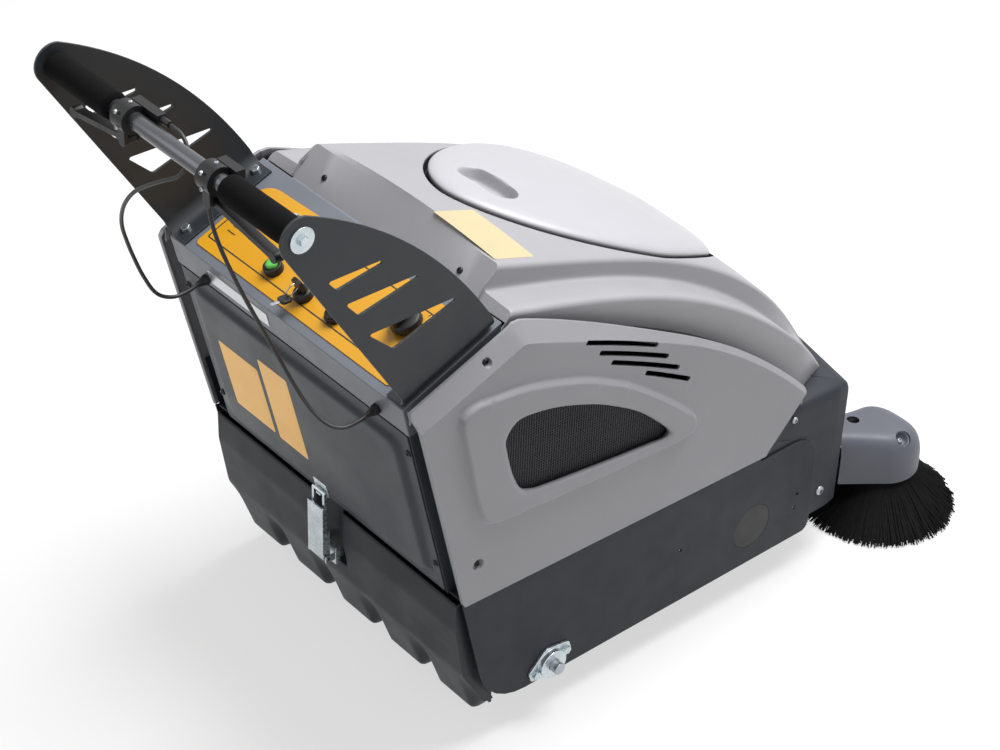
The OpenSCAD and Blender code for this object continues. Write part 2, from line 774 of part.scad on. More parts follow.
// Small screws of the panel, covers and hood
screw_r = 5;
screw_h = 2.5;
panel_screw_in = 12;
panel_screw_low = 60;
panel_screw_high = 290;
cover_screw_shares = [[0.03, 1.1], [0.037, 0.193], [1.064, 0.092]];
hood_screw_in = 55;
hood_screw_x = plateau_x - hood_screw_in;
hood_screw_share = 0.4;

module cover_screws() {
    color("#2a2a2c") {
        both_sides() for (up = [panel_screw_low, panel_screw_high])
            on_rear(console_x - panel_screw_in, up) rotate([90, 0, 0]) cylinder(h = screw_h, r = screw_r);
        both_sides() for (p = cover_screw_shares) rod_x(cover_x, cover_x + screw_h,
            rear_y(seam_z) + (cover_front_y - rear_y(seam_z)) * p[0],
            seam_z + (cover_rear_z - seam_z) * p[1], screw_r);
        both_sides() translate([hood_screw_x, hood_foot_y + (hood_rear_y - hood_foot_y) * hood_screw_share,
            hood_foot_z + (hood_z - hood_foot_z) * hood_screw_share])
            rotate([atan2(hood_z - hood_foot_z, hood_rear_y - hood_foot_y), 0, 0])
                cylinder(h = screw_h, r = screw_r);
    }
}

// Small catch where the hood meets the console
catch_w = 26;
catch_d = 16;
catch_h = 9;

module hood_catch() {
    color("#8e9094") on_console(-catch_w / 2, console_run - catch_d - 2 * slack)
        cube([catch_w, catch_d, catch_h]);
}

// Handle plates with three tapering slots, bolted to the console through a flange
handle_tip_r = 32;
handle_bulge = 54;
handle_bulge_share = 0.42;
flange_w = 44;
flange_margin = 8;
tip_hole_r = 6;
slot_rear_shares = [0.26, 0.41, 0.61];
slot_heights = [17, 25, 38];
slot_tip_h = 5;
slot_set_back = 4;
slot_toe_share = 0.9;
slot_length_shares = [0.55, 0.74, 0.92];

// Curve of three control points
function bow(a, c, b) = [for (i = [0 : curve_steps]) let (t = i / curve_steps)
    (1 - t) * (1 - t) * a + 2 * t * (1 - t) * c + t * t * b];

handle_foot_rear = [console_y + flange_margin * cos(console_tilt),
    console_z + flange_margin * sin(console_tilt)];
handle_foot_front = [console_far_y - flange_margin * cos(console_tilt),
    console_far_z - flange_margin * sin(console_tilt)];
handle_tip = [handle_y, handle_z];
handle_back_dir = unit(handle_foot_rear - handle_tip);
handle_back_n = [handle_back_dir[1], -handle_back_dir[0]];
handle_front_a = handle_tip + handle_tip_r * unit([0.25, 1]);
handle_front_n = unit([handle_front_a[1] - handle_foot_front[1], handle_foot_front[0] - handle_front_a[0]]);
handle_front_c = handle_front_a + (handle_foot_front - handle_front_a) * handle_bulge_share
    + handle_bulge * handle_front_n;
handle_arc_from = atan2(handle_back_n[1], handle_back_n[0]);
handle_arc_to = atan2(handle_front_a[1] - handle_tip[1], handle_front_a[0] - handle_tip[0]);

module handle_outline() {
    polygon(concat(
        [handle_foot_front, handle_foot_rear],
        [for (i = [0 : 2 * bend_steps]) let (d = handle_arc_from + 360 * (handle_arc_from < handle_arc_to ? 1 : 0)
            + (handle_arc_to - handle_arc_from - 360 * (handle_arc_from < handle_arc_to ? 1 : 0))
            * i / (2 * bend_steps)) handle_tip + handle_tip_r * [cos(d), sin(d)]],
        bow(handle_front_a, handle_front_c, handle_foot_front)));
}

// Slots run level; each starts beside the rear edge and tapers to a narrow front end
module handle_slots() {
    for (i = [0 : 2]) {
        rear = handle_tip + handle_back_dir * norm(handle_foot_rear - handle_tip) * slot_rear_shares[i];
        y0 = rear[0] - slot_set_back;
        y1 = y0 + (handle_foot_front[0] - handle_foot_rear[0]) * slot_length_shares[i];
        h = slot_heights[i];
        polygon(rounded([[y0, rear[1] + h / 2, slot_tip_h / 2],
            [y0 + h * slot_toe_share, rear[1] - h / 2, slot_tip_h],
            [y1, rear[1] + h / 2 - slot_tip_h, slot_tip_h / 3], [y1, rear[1] + h / 2, slot_tip_h / 3]]));
    }
}

module handle_plate() {
    difference() {
        sheet(handle_in_x, handle_t) difference() {
            handle_outline();
            handle_slots();
        }
        rod_x(handle_in_x - over, handle_x + over, handle_y, handle_z, tip_hole_r);
    }
    on_console(handle_x - flange_w, flange_margin, 0) cube([flange_w, console_run - 2 * flange_margin,
        handle_t]);
}

module right_handle_plate() {
    color("#2b2d30") handle_plate();
}

module left_handle_plate() {
    color("#2b2d30") mirror([1, 0, 0]) handle_plate();
}

// Handlebar tube between the plates, its foam grips and the two lever clamps
tube_wall = 2;
grip_l = 150;
clamp_x = 98;
clamp_half = 14;
clamp_wall = 8.5;
clamp_r = tube_r + clamp_wall;
lever_pin_r = 3;
lever_clear_rise = 20;
lever_drop = tube_r + lever_clear_rise;
lug_half = 14;
lug_t = 6;
lug_r = 8;
perch_l = 62;
perch_s = 14;
perch_up = 3;
barrel_r = 5;
barrel_l = 18;
barrel_drop = 42;
drive_start = [clamp_x - clamp_half - slack, handle_y, handle_z - barrel_drop];
lift_start = [-clamp_x - clamp_half + perch_l + barrel_l, handle_y + clamp_r,
    handle_z + perch_up + perch_s / 2];
grip_x1 = handle_in_x - slack;
grip_x0 = grip_x1 - grip_l;

module handlebar_tube() {
    color("#55565b") difference() {
        rod_x(-handle_in_x, handle_in_x, handle_y, handle_z, tube_r);
        rod_x(-handle_in_x - over, handle_in_x + over, handle_y, handle_z, tube_r - tube_wall);
    }
}

module grip() {
    difference() {
        rod_x(grip_x0, grip_x1, handle_y, handle_z, grip_r);
        rod_x(grip_x0 - over, grip_x1 + over, handle_y, handle_z, tube_r + fit);
    }
}

module right_grip() {
    color("#151516") grip();
}

module left_grip() {
    color("#151516") mirror([1, 0, 0]) grip();
}

// Ring on the tube, two ears below it with the lever's pin, and a perch beside the tube
module lever_clamp(x, perch_x, perch_len) {
    difference() {
        union() {
            rod_x(x - clamp_half, x + clamp_half, handle_y, handle_z, clamp_r);
            for (y = [-lug_half, lug_half - lug_t]) translate([x - lug_r, handle_y + y,
                handle_z - lever_drop])
                cube([2 * lug_r, lug_t, lever_drop - tube_r]);
            for (y = [-lug_half, lug_half - lug_t]) translate([x, handle_y + y, handle_z - lever_drop])
                rotate([-90, 0, 0]) cylinder(h = lug_t, r = lug_r);
            translate([perch_x, handle_y + clamp_r - perch_s / 2, handle_z + perch_up])
                cube([perch_len, perch_s, perch_s]);
        }
        rod_x(x - clamp_half - perch_l, x + clamp_half + perch_l, handle_y, handle_z, tube_r + fit);
    }
    translate([x, handle_y - lug_half, handle_z - lever_drop]) rotate([-90, 0, 0])
        cylinder(h = 2 * lug_half, r = lever_pin_r);
}

module right_lever_clamp() {
    color("#1d1d1f") {
        lever_clamp(clamp_x, clamp_x - clamp_half, grip_x0 - slack - clamp_x + clamp_half);
        translate(drive_start) cylinder(h = barrel_drop - tube_r - slack, r = barrel_r);
    }
}

module left_lever_clamp() {
    color("#1d1d1f") {
        lever_clamp(-clamp_x, -clamp_x - clamp_half, perch_l);
        translate(lift_start) rotate([0, -90, 0]) cylinder(h = barrel_l + slack, r = barrel_r);
    }
}

// Levers that hang below the grips and are squeezed up towards them
lever_half = lug_half - lug_t - slack / 2;
lever_l = 132;
lever_t = 9;
lever_fall = 14;
lever_tip_r = 8;
lever_root_r = 7;

module lever() {
    difference() {
        union() {
            translate([clamp_x, handle_y - lever_half, handle_z - lever_drop]) rotate([-90, 0, 0])
                cylinder(h = 2 * lever_half, r = lever_root_r);
            translate([0, handle_y + lever_half, 0]) rotate([90, 0, 0]) linear_extrude(2 * lever_half)
                polygon([[clamp_x, handle_z - lever_drop + lever_t / 2], [clamp_x,
                    handle_z - lever_drop - lever_t / 2],
                    [clamp_x + lever_l, handle_z - lever_drop - lever_fall - lever_t],
                    [clamp_x + lever_l, handle_z - lever_drop - lever_fall]]);
            translate([clamp_x + lever_l, handle_y - lever_half,
                handle_z - lever_drop - lever_fall - lever_t / 2])
                rotate([-90, 0, 0]) cylinder(h = 2 * lever_half, r = lever_tip_r);
        }
        translate([clamp_x, handle_y - lever_half - over, handle_z - lever_drop]) rotate([-90, 0, 0])
            cylinder(h = 2 * lever_half + 2 * over, r = lever_pin_r + fit);
    }
}

module drive_lever() {
    color("#1a1a1c") lever();
}

module lift_lever() {
    color("#1a1a1c") mirror([1, 0, 0]) lever();
}

// Hex bolts: handle tips with washers, console flanges and axle bearings
hex_r = 7.5;
hex_h = 6;
washer_r = 18.5;
washer_t = 2.5;
flange_bolt_in = 22;
flange_bolt_runs = [22, console_run - 26];
bearing_pitch = 63;
bearing_l = 85;
bearing_h = 62;
bearing_t = 5;
bearing_boss_r = 25;
bearing_boss_t = 14;
bearing_turn = 18;

module hex_bolt() {
    cylinder(h = hex_h, r = hex_r, $fn = 6);
}

module hex_bolts() {
    color("#b9bcc0") both_sides() {
        rod_x(handle_x, handle_x + washer_t, handle_y, handle_z, washer_r);
        translate([handle_x + washer_t, handle_y, handle_z]) rotate([0, 90, 0]) hex_bolt();
        for (run = flange_bolt_runs) on_console(handle_x - flange_bolt_in, run, handle_t) hex_bolt();
        translate([plate_x + bearing_t, 0, wheel_r]) rotate([bearing_turn, 0, 0])
            for (s = [-1, 1]) translate([0, s * bearing_pitch / 2, 0]) rotate([0, 90, 0]) hex_bolt();
    }
}

// Control cables: free loops from the clamps to the glands on the strip
cable_d = 6;
cable_sides = 8;
gland_lead = 12;
// Points between the ends: share of the way, then how far off the straight line
drive_route = [[0, 0, 0, -10], [0.09, -9, -13, 0], [0.17, -11, -22, -1], [0.27, -16, -29, -1],
    [0.39, -25, -35, 1], [0.5, -33, -37, -2], [0.62, -41, -40, -2], [0.74, -45, -45, -1], [0.85, -43, -51,
        -1],
    [0.94, -31, -55, -2], [1, -15, -52, 0], [1, -4, -35, -6]];
lift_route = [[0, 10, 0, 0], [0.01, 28, -1, 1], [0.03, 45, -6, 0], [0.06, 57, -14, -2], [0.1, 62, -24, -2],
    [0.14, 57, -34, -2], [0.19, 40, -47, 2], [0.24, 17, -59, 1], [0.3, -4, -69, 0], [0.38, -18, -77, 2],
    [0.46, -30, -80, 0], [0.55, -37, -80, -1], [0.65, -38, -77, -1], [0.76, -33, -74, 0],
    [0.87, -22, -70, -1], [0.97, -7, -62, 0], [1, -1, -39, -4]];

function gland_end(x, lead) = let (out = gland_l * 1.5 + lead)
    [x, rear_y(seam_z) - gland_up * sin(rear_lean) - out * cos(rear_lean),
     seam_z + gland_up * cos(rear_lean) - out * sin(rear_lean)];
function full_route(start, rows, x) = let (end = gland_end(x, 0))
    concat([start], [for (r = rows) start + r[0] * (end - start) + [r[1], r[2], r[3]]],
        [gland_end(x, gland_lead), end]);
function along(route, i) = unit(route[min(i + 1, len(route) - 1)] - route[max(i - 1, 0)]);
function first_side(d) = unit(cross(d, abs(d[2]) < 0.9 ? [0, 0, 1] : [0, 1, 0]));
function side_at(route, i) = i == 0 ? first_side(along(route, 0)) :
    let (p = side_at(route, i - 1), d = along(route, i)) unit(p - (p * d) * d);
function ring(route, i) = let (d = along(route, i), s = side_at(route, i), u = cross(s, d))
    [for (k = [0 : cable_sides - 1]) route[i] + cable_d / 2
        * (s * cos(360 * k / cable_sides) + u * sin(360 * k / cable_sides))];

module cable(route) {
    n = len(route);
    points = [for (i = [0 : n - 1]) each ring(route, i)];
    sides = [for (i = [0 : n - 2]) for (k = [0 : cable_sides - 1]) let (a = i * cable_sides + k,
        b = i * cable_sides + (k + 1) % cable_sides) each [[a, b, b + cable_sides],
        [a, b + cable_sides, a + cable_sides]]];
    start = [for (k = [1 : cable_sides - 2]) [0, k + 1, k]];
    last = (n - 1) * cable_sides;
    end = [for (k = [1 : cable_sides - 2]) [last, last + k, last + k + 1]];
    polyhedron(points, concat(sides, start, end));
}

module drive_cable() {
    color("#131314") cable(full_route(drive_start, drive_route, gland_x));
}

module lift_cable() {
    color("#131314") cable(full_route(lift_start, lift_route, gland_left_x));
}

// Drive axle, its two-bolt bearings, hubs and tyres
axle_stub = 14;
wheel_gap = 63;
tyre_depth = 26;
tyre_r_in = wheel_r - tyre_depth;
hub_spokes = 5;
hub_wall = 8;
hub_boss_wall = 10;
hub_boss_r = axle_r + hub_boss_wall;
hub_web_t = 10;
tyre_out_x = plate_in_x - wheel_gap;
tyre_in_x = tyre_out_x - tyre_w;
spoke_hole_r = 13;
spoke_hole_at = (tyre_r_in + hub_boss_r) / 2 - hub_wall / 3;

module axle_bearings() {
    color("#b4b7bb") both_sides() difference() {
        union() {
            translate([0, 0, wheel_r]) rotate([bearing_turn, 0, 0]) sheet(plate_x,
                bearing_t) polygon(rounded([
                [bearing_l / 2, -bearing_h / 7, bearing_h / 9], [bearing_l / 2, bearing_h / 7, bearing_h / 9],
                [0, bearing_h / 2, bearing_h / 4], [-bearing_l / 2, bearing_h / 7, bearing_h / 9],
                [-bearing_l / 2, -bearing_h / 7, bearing_h / 9], [0, -bearing_h / 2, bearing_h / 4]]));
            rod_x(plate_x, plate_x + bearing_boss_t, 0, wheel_r, bearing_boss_r);
            rod_x(plate_in_x, plate_x, 0, wheel_r, bearing_hole_r - gap);
        }
        rod_x(plate_in_x - over, plate_x + bearing_boss_t + over, 0, wheel_r, axle_r + fit);
    }
}

module drive_axle() {
    color("#8f9297") rod_x(-plate_x - bearing_boss_t - axle_stub, plate_x + bearing_boss_t + axle_stub,
        0, wheel_r, axle_r);
}

module wheel_hubs() {
    color("#6e7076") both_sides() difference() {
        union() {
            rod_x(tyre_in_x, tyre_out_x, 0, wheel_r, hub_boss_r);
            difference() {
                rod_x(tyre_in_x, tyre_out_x, 0, wheel_r, tyre_r_in);
                rod_x(tyre_in_x - over, tyre_out_x + over, 0, wheel_r, tyre_r_in - hub_wall);
            }
            rod_x((tyre_in_x + tyre_out_x - hub_web_t) / 2, (tyre_in_x + tyre_out_x + hub_web_t) / 2,
                0, wheel_r, tyre_r_in);
        }
        rod_x(tyre_in_x - over, tyre_out_x + over, 0, wheel_r, axle_r + fit);
        for (i = [0 : hub_spokes - 1])
            translate([0, 0, wheel_r]) rotate([360 * i / hub_spokes, 0, 0])
                rod_x(tyre_in_x, tyre_out_x, spoke_hole_at, 0, spoke_hole_r);
    }
}

// Tyres with a rounded shoulder
tyre_shoulder = 8;

module wheel_tyres() {
    color("#1c1c1e") both_sides() translate([tyre_in_x, 0, wheel_r]) rotate([0, 90, 0]) rotate_extrude()
        polygon(rounded([[tyre_r_in + fit, 0, 0], [wheel_r, 0, tyre_shoulder],
            [wheel_r, tyre_w, tyre_shoulder], [tyre_r_in + fit, tyre_w, 0]]));
}

// Roller brush: core, bristle rows, shaft ends in bearings, and a belt drive on the left
roller_margin = 56;
roller_x = plate_x - roller_margin;
roller_shaft_r = 10;
roller_shaft_in = 5;
roller_shaft_x = plate_in_x - roller_shaft_in;
roller_rows = 10;
roller_row_t = 7;
roller_sleeve = 3;
roller_bearing_r = 30;
roller_bearing_t = 14;
pulley_in = 25;
pulley_x0 = -plate_x + pulley_in;
pulley_w = 14;
brush_pulley_r = 48;
motor_pulley_r = 24;
pulley_flange = 4;
pulley_flange_t = 1.5;
belt_t = 5;
belt_w = 10;
motor_set_back = 135;
motor_rise = 97;
motor_y = brush_y - motor_set_back;
motor_z = seam_z + motor_rise;
motor_r = 60;
motor_l = 160;
motor_in = 56;
motor_x1 = -plate_x + motor_in;
motor_shaft_r = 8;
motor_shaft_in = 24;
motor_foot_d = 90;
motor_foot_w = 130;
motor_foot_margin = 15;

module main_brush_core() {
    color("#3a3c40") {
        rod_x(-roller_x, roller_x, brush_y, brush_z, core_d / 2);
        rod_x(-roller_shaft_x, roller_shaft_x, brush_y, brush_z, roller_shaft_r);
    }
}

module main_brush_bristles() {
    color("#26272a") translate([0, brush_y, brush_z]) difference() {
        union() {
            rod_x(-roller_x + roller_margin / 6, roller_x - roller_margin / 6, 0, 0,
                core_d / 2 + roller_sleeve);
            for (i = [0 : roller_rows - 1]) rotate([360 * (i + 0.5) / roller_rows, 0, 0])
                translate([-roller_x + roller_margin / 5, -roller_row_t / 2, core_d / 2])
                    cube([2 * roller_x - roller_margin * 2 / 5, roller_row_t, brush_r - core_d / 2]);
        }
        rod_x(-roller_x, roller_x, 0, 0, core_d / 2 + fit);
    }
}

module brush_bearings() {
    color("#8a8d92") both_sides() difference() {
        rod_x(plate_in_x - plate_t - roller_bearing_t, plate_in_x - plate_t, brush_y, brush_z,
            roller_bearing_r);
        rod_x(plate_in_x - plate_t - roller_bearing_t - over, plate_in_x - plate_t + over, brush_y, brush_z,
            roller_shaft_r + fit);
    }
}

// Grooved pulley on the X axis
module pulley(y, z, r, bore) {
    difference() {
        union() {
            rod_x(pulley_x0, pulley_x0 + pulley_w, y, z, r);
            for (x = [pulley_x0, pulley_x0 + pulley_w - pulley_flange_t])
                rod_x(x, x + pulley_flange_t, y, z, r + pulley_flange);
        }
        if (bore > 0) rod_x(pulley_x0 - over, pulley_x0 + pulley_w + over, y, z, bore);
    }
}

module brush_pulley() {
    color("#7c7f84") pulley(brush_y, brush_z, brush_pulley_r, roller_shaft_r + fit);
}

module motor_pulley() {
    color("#7c7f84") {
        pulley(motor_y, motor_z, motor_pulley_r, 0);
        rod_x(pulley_x0, motor_x1 + motor_shaft_in - slack, motor_y, motor_z, motor_shaft_r);
    }
}

module drive_motor() {
    color("#53565c") difference() {
        union() {
            rod_x(motor_x1, motor_x1 + motor_l, motor_y, motor_z, motor_r);
            translate([motor_x1 + motor_foot_margin, motor_y - motor_foot_d / 2, seam_z])
                cube([motor_foot_w, motor_foot_d, motor_rise]);
        }
        rod_x(motor_x1 - over, motor_x1 + motor_shaft_in, motor_y, motor_z, motor_shaft_r + fit);
    }
}

// Outline of a belt round two pulleys: an arc on each, joined by the outer tangents
function belt_points(c1, r1, c2, r2) =
    let (v = c2 - c1, dir = atan2(v[1], v[0]), lean = acos((r1 - r2) / norm(v)), n = 2 * bend_steps + 8)
    concat([for (i = [0 : n]) let (d = dir + lean + (360 - 2 * lean) * i / n) c1 + r1 * [cos(d), sin(d)]],
        [for (i = [0 : n]) let (d = dir - lean + 2 * lean * i / n) c2 + r2 * [cos(d), sin(d)]]);

module brush_belt() {
    color("#1a1a1b") sheet(pulley_x0 + (pulley_w - belt_w) / 2, belt_w) difference() {
        polygon(belt_points([brush_y, brush_z], brush_pulley_r + gap + belt_t, [motor_y, motor_z],
            motor_pulley_r + gap + belt_t));
        polygon(belt_points([brush_y, brush_z], brush_pulley_r + gap, [motor_y, motor_z],
            motor_pulley_r + gap));
    }
}

// Battery, filter and suction fan on the deck under the hood
battery_w = 260;
battery_d = 190;
battery_h = 210;
battery_x = -55;
battery_back = 230;
battery_y = brush_y - battery_back;
terminal_r = 8;
terminal_h = 12;
terminal_in = 35;
filter_h = 110;
pleats = 14;
pleat_w = 9;
pleat_depth = 60;
fan_x = 186;
fan_y = 36;
fan_r = 62;
fan_h = 96;
fan_cap_r = 36;
fan_cap_h = 46;

module battery() {
    color("#2f3136") {
        translate([battery_x, battery_y, seam_z]) cube([battery_w, battery_d, battery_h]);
        for (x = [terminal_in, battery_w - terminal_in])
            translate([battery_x + x, battery_y + battery_d / 2, seam_z + battery_h])
                cylinder(h = terminal_h, r = terminal_r);
    }
}

module panel_filter() {
    color("#d8d4c4") difference() {
        translate([filter_x0, filter_y0, seam_z]) cube([filter_x1 - filter_x0, filter_y1 - filter_y0,
            filter_h]);
        for (i = [0 : pleats - 1])
            translate([filter_x0 + filter_rim + (i + 0.5) * (filter_x1 - filter_x0 - 2 * filter_rim) / pleats
                - pleat_w / 2, filter_y0 + filter_rim, seam_z + filter_h - pleat_depth])
                cube([pleat_w, filter_y1 - filter_y0 - 2 * filter_rim, pleat_depth + over]);
    }
}

module suction_fan() {
    color("#44464b") translate([fan_x, fan_y, seam_z]) {
        cylinder(h = fan_h, r = fan_r);
        translate([0, 0, fan_h]) cylinder(h = fan_cap_h, r = fan_cap_r);
    }
}

// Hopper: a full-width rear part behind the wheels and a narrower bin that reaches over the axle
hopper_in = 8;
hopper_x = plate_in_x - hopper_in;
hopper_top_z = seam_z - plate_t - 3 * slack;
hopper_floor_drop = 22;
hopper_floor_z = plate_clear - hopper_floor_drop;
hopper_rear_back = 3;
hopper_rear_y = rear_y(seam_z) - hopper_rear_back;
hopper_knee_drop = 57;
hopper_knee_z = seam_z - hopper_knee_drop;
hopper_waist_back = 8;
hopper_waist_y = -wheel_r - hopper_waist_back;
hopper_lower_back = 22;
hopper_lower_y = -axle_r - hopper_lower_back;
hopper_over_rise = 15;
hopper_over_z = wheel_r + axle_r + hopper_over_rise;
hopper_front_back = 15;
hopper_front_y = brush_y - tunnel_r - hopper_front_back;
hopper_lip_h = 12;
bin_in = 10;
bin_x = tyre_in_x - bin_in;
lobe_count = 5;
lobe_pitch = 118;
lobe_w = 90;
hopper_mid_share = 0.52;
hopper_mid_z = hopper_floor_z + (hopper_knee_z - hopper_floor_z) * hopper_mid_share;
hopper_mid_in = 17;
hopper_heel_in = 14;
trough_in = 7;
trough_up = 18;
trough_z = hopper_floor_z + trough_up;

module hopper_rear_profile(mid_in, floor_z) {
    polygon([[hopper_rear_y, hopper_top_z], [hopper_rear_y, hopper_knee_z], [hopper_rear_y + mid_in,
        hopper_mid_z],
        [hopper_waist_y - hopper_heel_in, floor_z], [hopper_waist_y, floor_z], [hopper_waist_y,
            hopper_top_z]]);
}

module hopper_rear_space(t) {
    polygon([[hopper_rear_y + t, hopper_top_z + over], [hopper_rear_y + t, hopper_knee_z],
        [hopper_rear_y + hopper_mid_in + trough_in + t, hopper_mid_z + t / 2],
        [hopper_waist_y - hopper_heel_in + t / 2, trough_z + t], [hopper_waist_y - t, trough_z + t],
        [hopper_waist_y - t, hopper_top_z + over]]);
}

module bin_profile(t) {
    rear = hopper_waist_y - (t > 0 ? 2 * t : over);
    top = hopper_top_z + (t > 0 ? over : 0);
    polygon([[rear, top], [rear, trough_z + t], [hopper_lower_y - t, trough_z + t],
        [hopper_lower_y - t, hopper_over_z + t], [hopper_front_y - t, hopper_over_z + t],
        [hopper_front_y - t, top]]);
}

module hopper() {
    color("#3a3d43") difference() {
        union() {
            across(hopper_x) hopper_rear_profile(hopper_mid_in + trough_in, trough_z);
            across(bin_x) bin_profile(0);
            for (x = [latch_x - latch_half - slack - latch_lug_t, latch_x + latch_half + slack])
                translate([x, latch_y - 2 * latch_pin_r, latch_pivot_z - 2 * latch_pin_r])
                    cube([latch_lug_t, hopper_rear_y - latch_y + 2 * latch_pin_r + hopper_mid_in,
                        4 * latch_pin_r]);
            rod_x(latch_x - latch_half - slack - latch_lug_t, latch_x + latch_half + slack + latch_lug_t,
                latch_y, latch_pivot_z, latch_pin_r);
            for (i = [0 : lobe_count - 1])
                sheet((i - (lobe_count - 1) / 2) * lobe_pitch - lobe_w / 2, lobe_w)
                    hopper_rear_profile(hopper_mid_in, hopper_floor_z);
        }
        across(hopper_x - hopper_t) hopper_rear_space(hopper_t);
        across(bin_x - hopper_t) bin_profile(hopper_t);
        translate([-bin_x + hopper_t, hopper_front_y - 2 * hopper_t, hopper_over_z + hopper_t + hopper_lip_h])
            cube([2 * (bin_x - hopper_t), 4 * hopper_t, hopper_top_z]);
    }
}

// Draw latch: keeper on the rear panel, lever and bail on the hopper
latch_x = -8;
latch_half = 19;
latch_back = 16;
latch_y = hopper_rear_y - latch_back;
latch_pivot_drop = 97;
latch_pivot_z = seam_z - latch_pivot_drop;
latch_pin_r = 3;
latch_lug_t = 3;
latch_lever_t = 3;
latch_plate_back = 8.5;
latch_lever_h = 98;
bail_pivot_up = 44;
bail_r = 2.5;
bail_top_rise = 24;
bail_top_z = seam_z + bail_top_rise;
bail_half = 13;
keeper_half = 16;
keeper_h = 26;
keeper_t = 3;
keeper_lip = 15;

module latch_keeper() {
    face_up = (bail_top_z - bail_r - slack - keeper_t - seam_z) / cos(rear_lean);
    keeper_face_y = rear_y(bail_top_z) - panel_field / cos(rear_lean);
    color("#c3ccd0") {
        on_rear(latch_x - keeper_half, face_up, -panel_field - keeper_t) cube([2 * keeper_half, keeper_t,
            keeper_h]);
        translate([latch_x - bail_half + 3 * bail_r, latch_y - bail_r,
            bail_top_z - bail_r - slack - keeper_t])
            cube([2 * bail_half - 6 * bail_r, keeper_face_y - latch_y + bail_r, keeper_t]);
    }
}

module latch_lever() {
    color("#c3ccd0") difference() {
        union() {
            rod_x(latch_x - latch_half, latch_x + latch_half, latch_y, latch_pivot_z, 2 * latch_pin_r);
            translate([latch_x - latch_half, latch_y - latch_plate_back, latch_pivot_z])
                cube([2 * latch_half, latch_lever_t, latch_lever_h]);
            for (x = [latch_x - latch_half, latch_x + latch_half - latch_lug_t])
                translate([x, latch_y - latch_plate_back, latch_pivot_z])
                    cube([latch_lug_t, latch_plate_back + 2 * latch_pin_r - slack,
                        bail_pivot_up + 2 * latch_pin_r]);
            rod_x(latch_x - latch_half, latch_x + latch_half, latch_y, latch_pivot_z + bail_pivot_up, bail_r);
        }
        rod_x(latch_x - latch_half - over, latch_x + latch_half + over, latch_y, latch_pivot_z,
            latch_pin_r + fit);
    }
}

module latch_bail() {
    color("#c3ccd0") {
        for (s = [-1, 1]) difference() {
            union() {
                rod_x(latch_x + s * bail_half - bail_r, latch_x + s * bail_half + bail_r, latch_y,
                    latch_pivot_z + bail_pivot_up, 2 * bail_r);
                translate([latch_x + s * bail_half - bail_r, latch_y - bail_r, latch_pivot_z + bail_pivot_up])
                    cube([2 * bail_r, 2 * bail_r, bail_top_z - latch_pivot_z - bail_pivot_up]);
            }
            rod_x(latch_x - latch_half, latch_x + latch_half, latch_y, latch_pivot_z + bail_pivot_up,
                bail_r + fit);
        }
        rod_x(latch_x - bail_half - bail_r, latch_x + bail_half + bail_r, latch_y, bail_top_z, bail_r);
    }
}

// Side brush: hinged arm with its dome, motor, disc and flared bristles
dome_rim_drop = 61;
dome_rim_z = brush_z - dome_rim_drop;
dome_top_rise = 27;
dome_top_z = brush_z + dome_top_rise;
dome_wall = 4;
dome_round = 56;
dome_crown = 22;
dome_shoulder = 32;
sweep_motor_share = 0.21;
sweep_motor_r = dome_d * sweep_motor_share;
sweep_motor_h = 48;
sweep_motor_z = dome_top_z - dome_crown - sweep_motor_h;
disc_r = dome_d / 2 - 2 * dome_wall;
disc_drop = 8;
disc_z = dome_rim_z - disc_drop;
disc_t = 12;
sweep_shaft_r = 8;
sweep_shaft_in = 20;
strand_rings = 4;
strand_count = 96;
strand_top_shares = [0.66, 0.76, 0.86, 0.95];
strand_foot_shares = [0.52, 0.68, 0.84, 1];
strand_w = 1.2;
sweep_floor_gap = 1;
slice_t = 3;
slice_parts = 16;
slice_inner_share = 0.6;

neck_ahead = 50;
neck_turns = [-41, 187];

module dome_cavity() {
    low = dome_rim_z + dome_shoulder;
    rotate_extrude() polygon(rounded([[0, dome_rim_z - over, 0], [dome_d / 2 - dome_wall,
        dome_rim_z - over, 0],
        [dome_d / 2 - dome_round / 8 - dome_wall, low, dome_wall],
        [sweep_motor_r + dome_wall, dome_top_z - dome_crown, dome_wall], [0, dome_top_z - dome_crown, 0]]));
}

// Plan of the neck, from the cowl to both flanks of the dome
module neck_plan(t) {
    r = dome_d / 2 - t;
    polygon([[arm_x + arm_half - t, arm_hinge_y + neck_ahead + t],
        [sweep_x + r * cos(neck_turns[0]), sweep_y + r * sin(neck_turns[0])], [sweep_x, sweep_y],
        [sweep_x + r * cos(neck_turns[1]), sweep_y + r * sin(neck_turns[1])],
        [arm_x - arm_half + t, arm_hinge_y + neck_ahead + t]]);
}

module side_brush_arm() {
    color("#4a4d55") difference() {
        union() {
            translate([sweep_x, sweep_y, 0]) rotate_extrude() polygon(rounded([[0, dome_rim_z, 0],
                [dome_d / 2, dome_rim_z, 0], [dome_d / 2 - dome_round / 4, dome_top_z, dome_round], [0,
                    dome_top_z, 0]]));
            translate([0, 0, dome_rim_z]) linear_extrude(dome_top_z - dome_rim_z) neck_plan(0);
            rod_x(arm_x - arm_half, arm_x + arm_half, arm_hinge_y, arm_hinge_z, ear_r);
            translate([arm_x - arm_half, arm_hinge_y, arm_hinge_z - ear_r])
                cube([2 * arm_half, cowl_y - arm_hinge_y, 2 * ear_r]);
        }
        translate([sweep_x, sweep_y, 0]) dome_cavity();
        translate([0, 0, dome_rim_z - over]) linear_extrude(dome_top_z - dome_crown - dome_rim_z + over)
            neck_plan(dome_wall);
        rod_x(arm_x - arm_half - over, arm_x + arm_half + over, arm_hinge_y, arm_hinge_z, arm_pin_r + fit);
    }
}

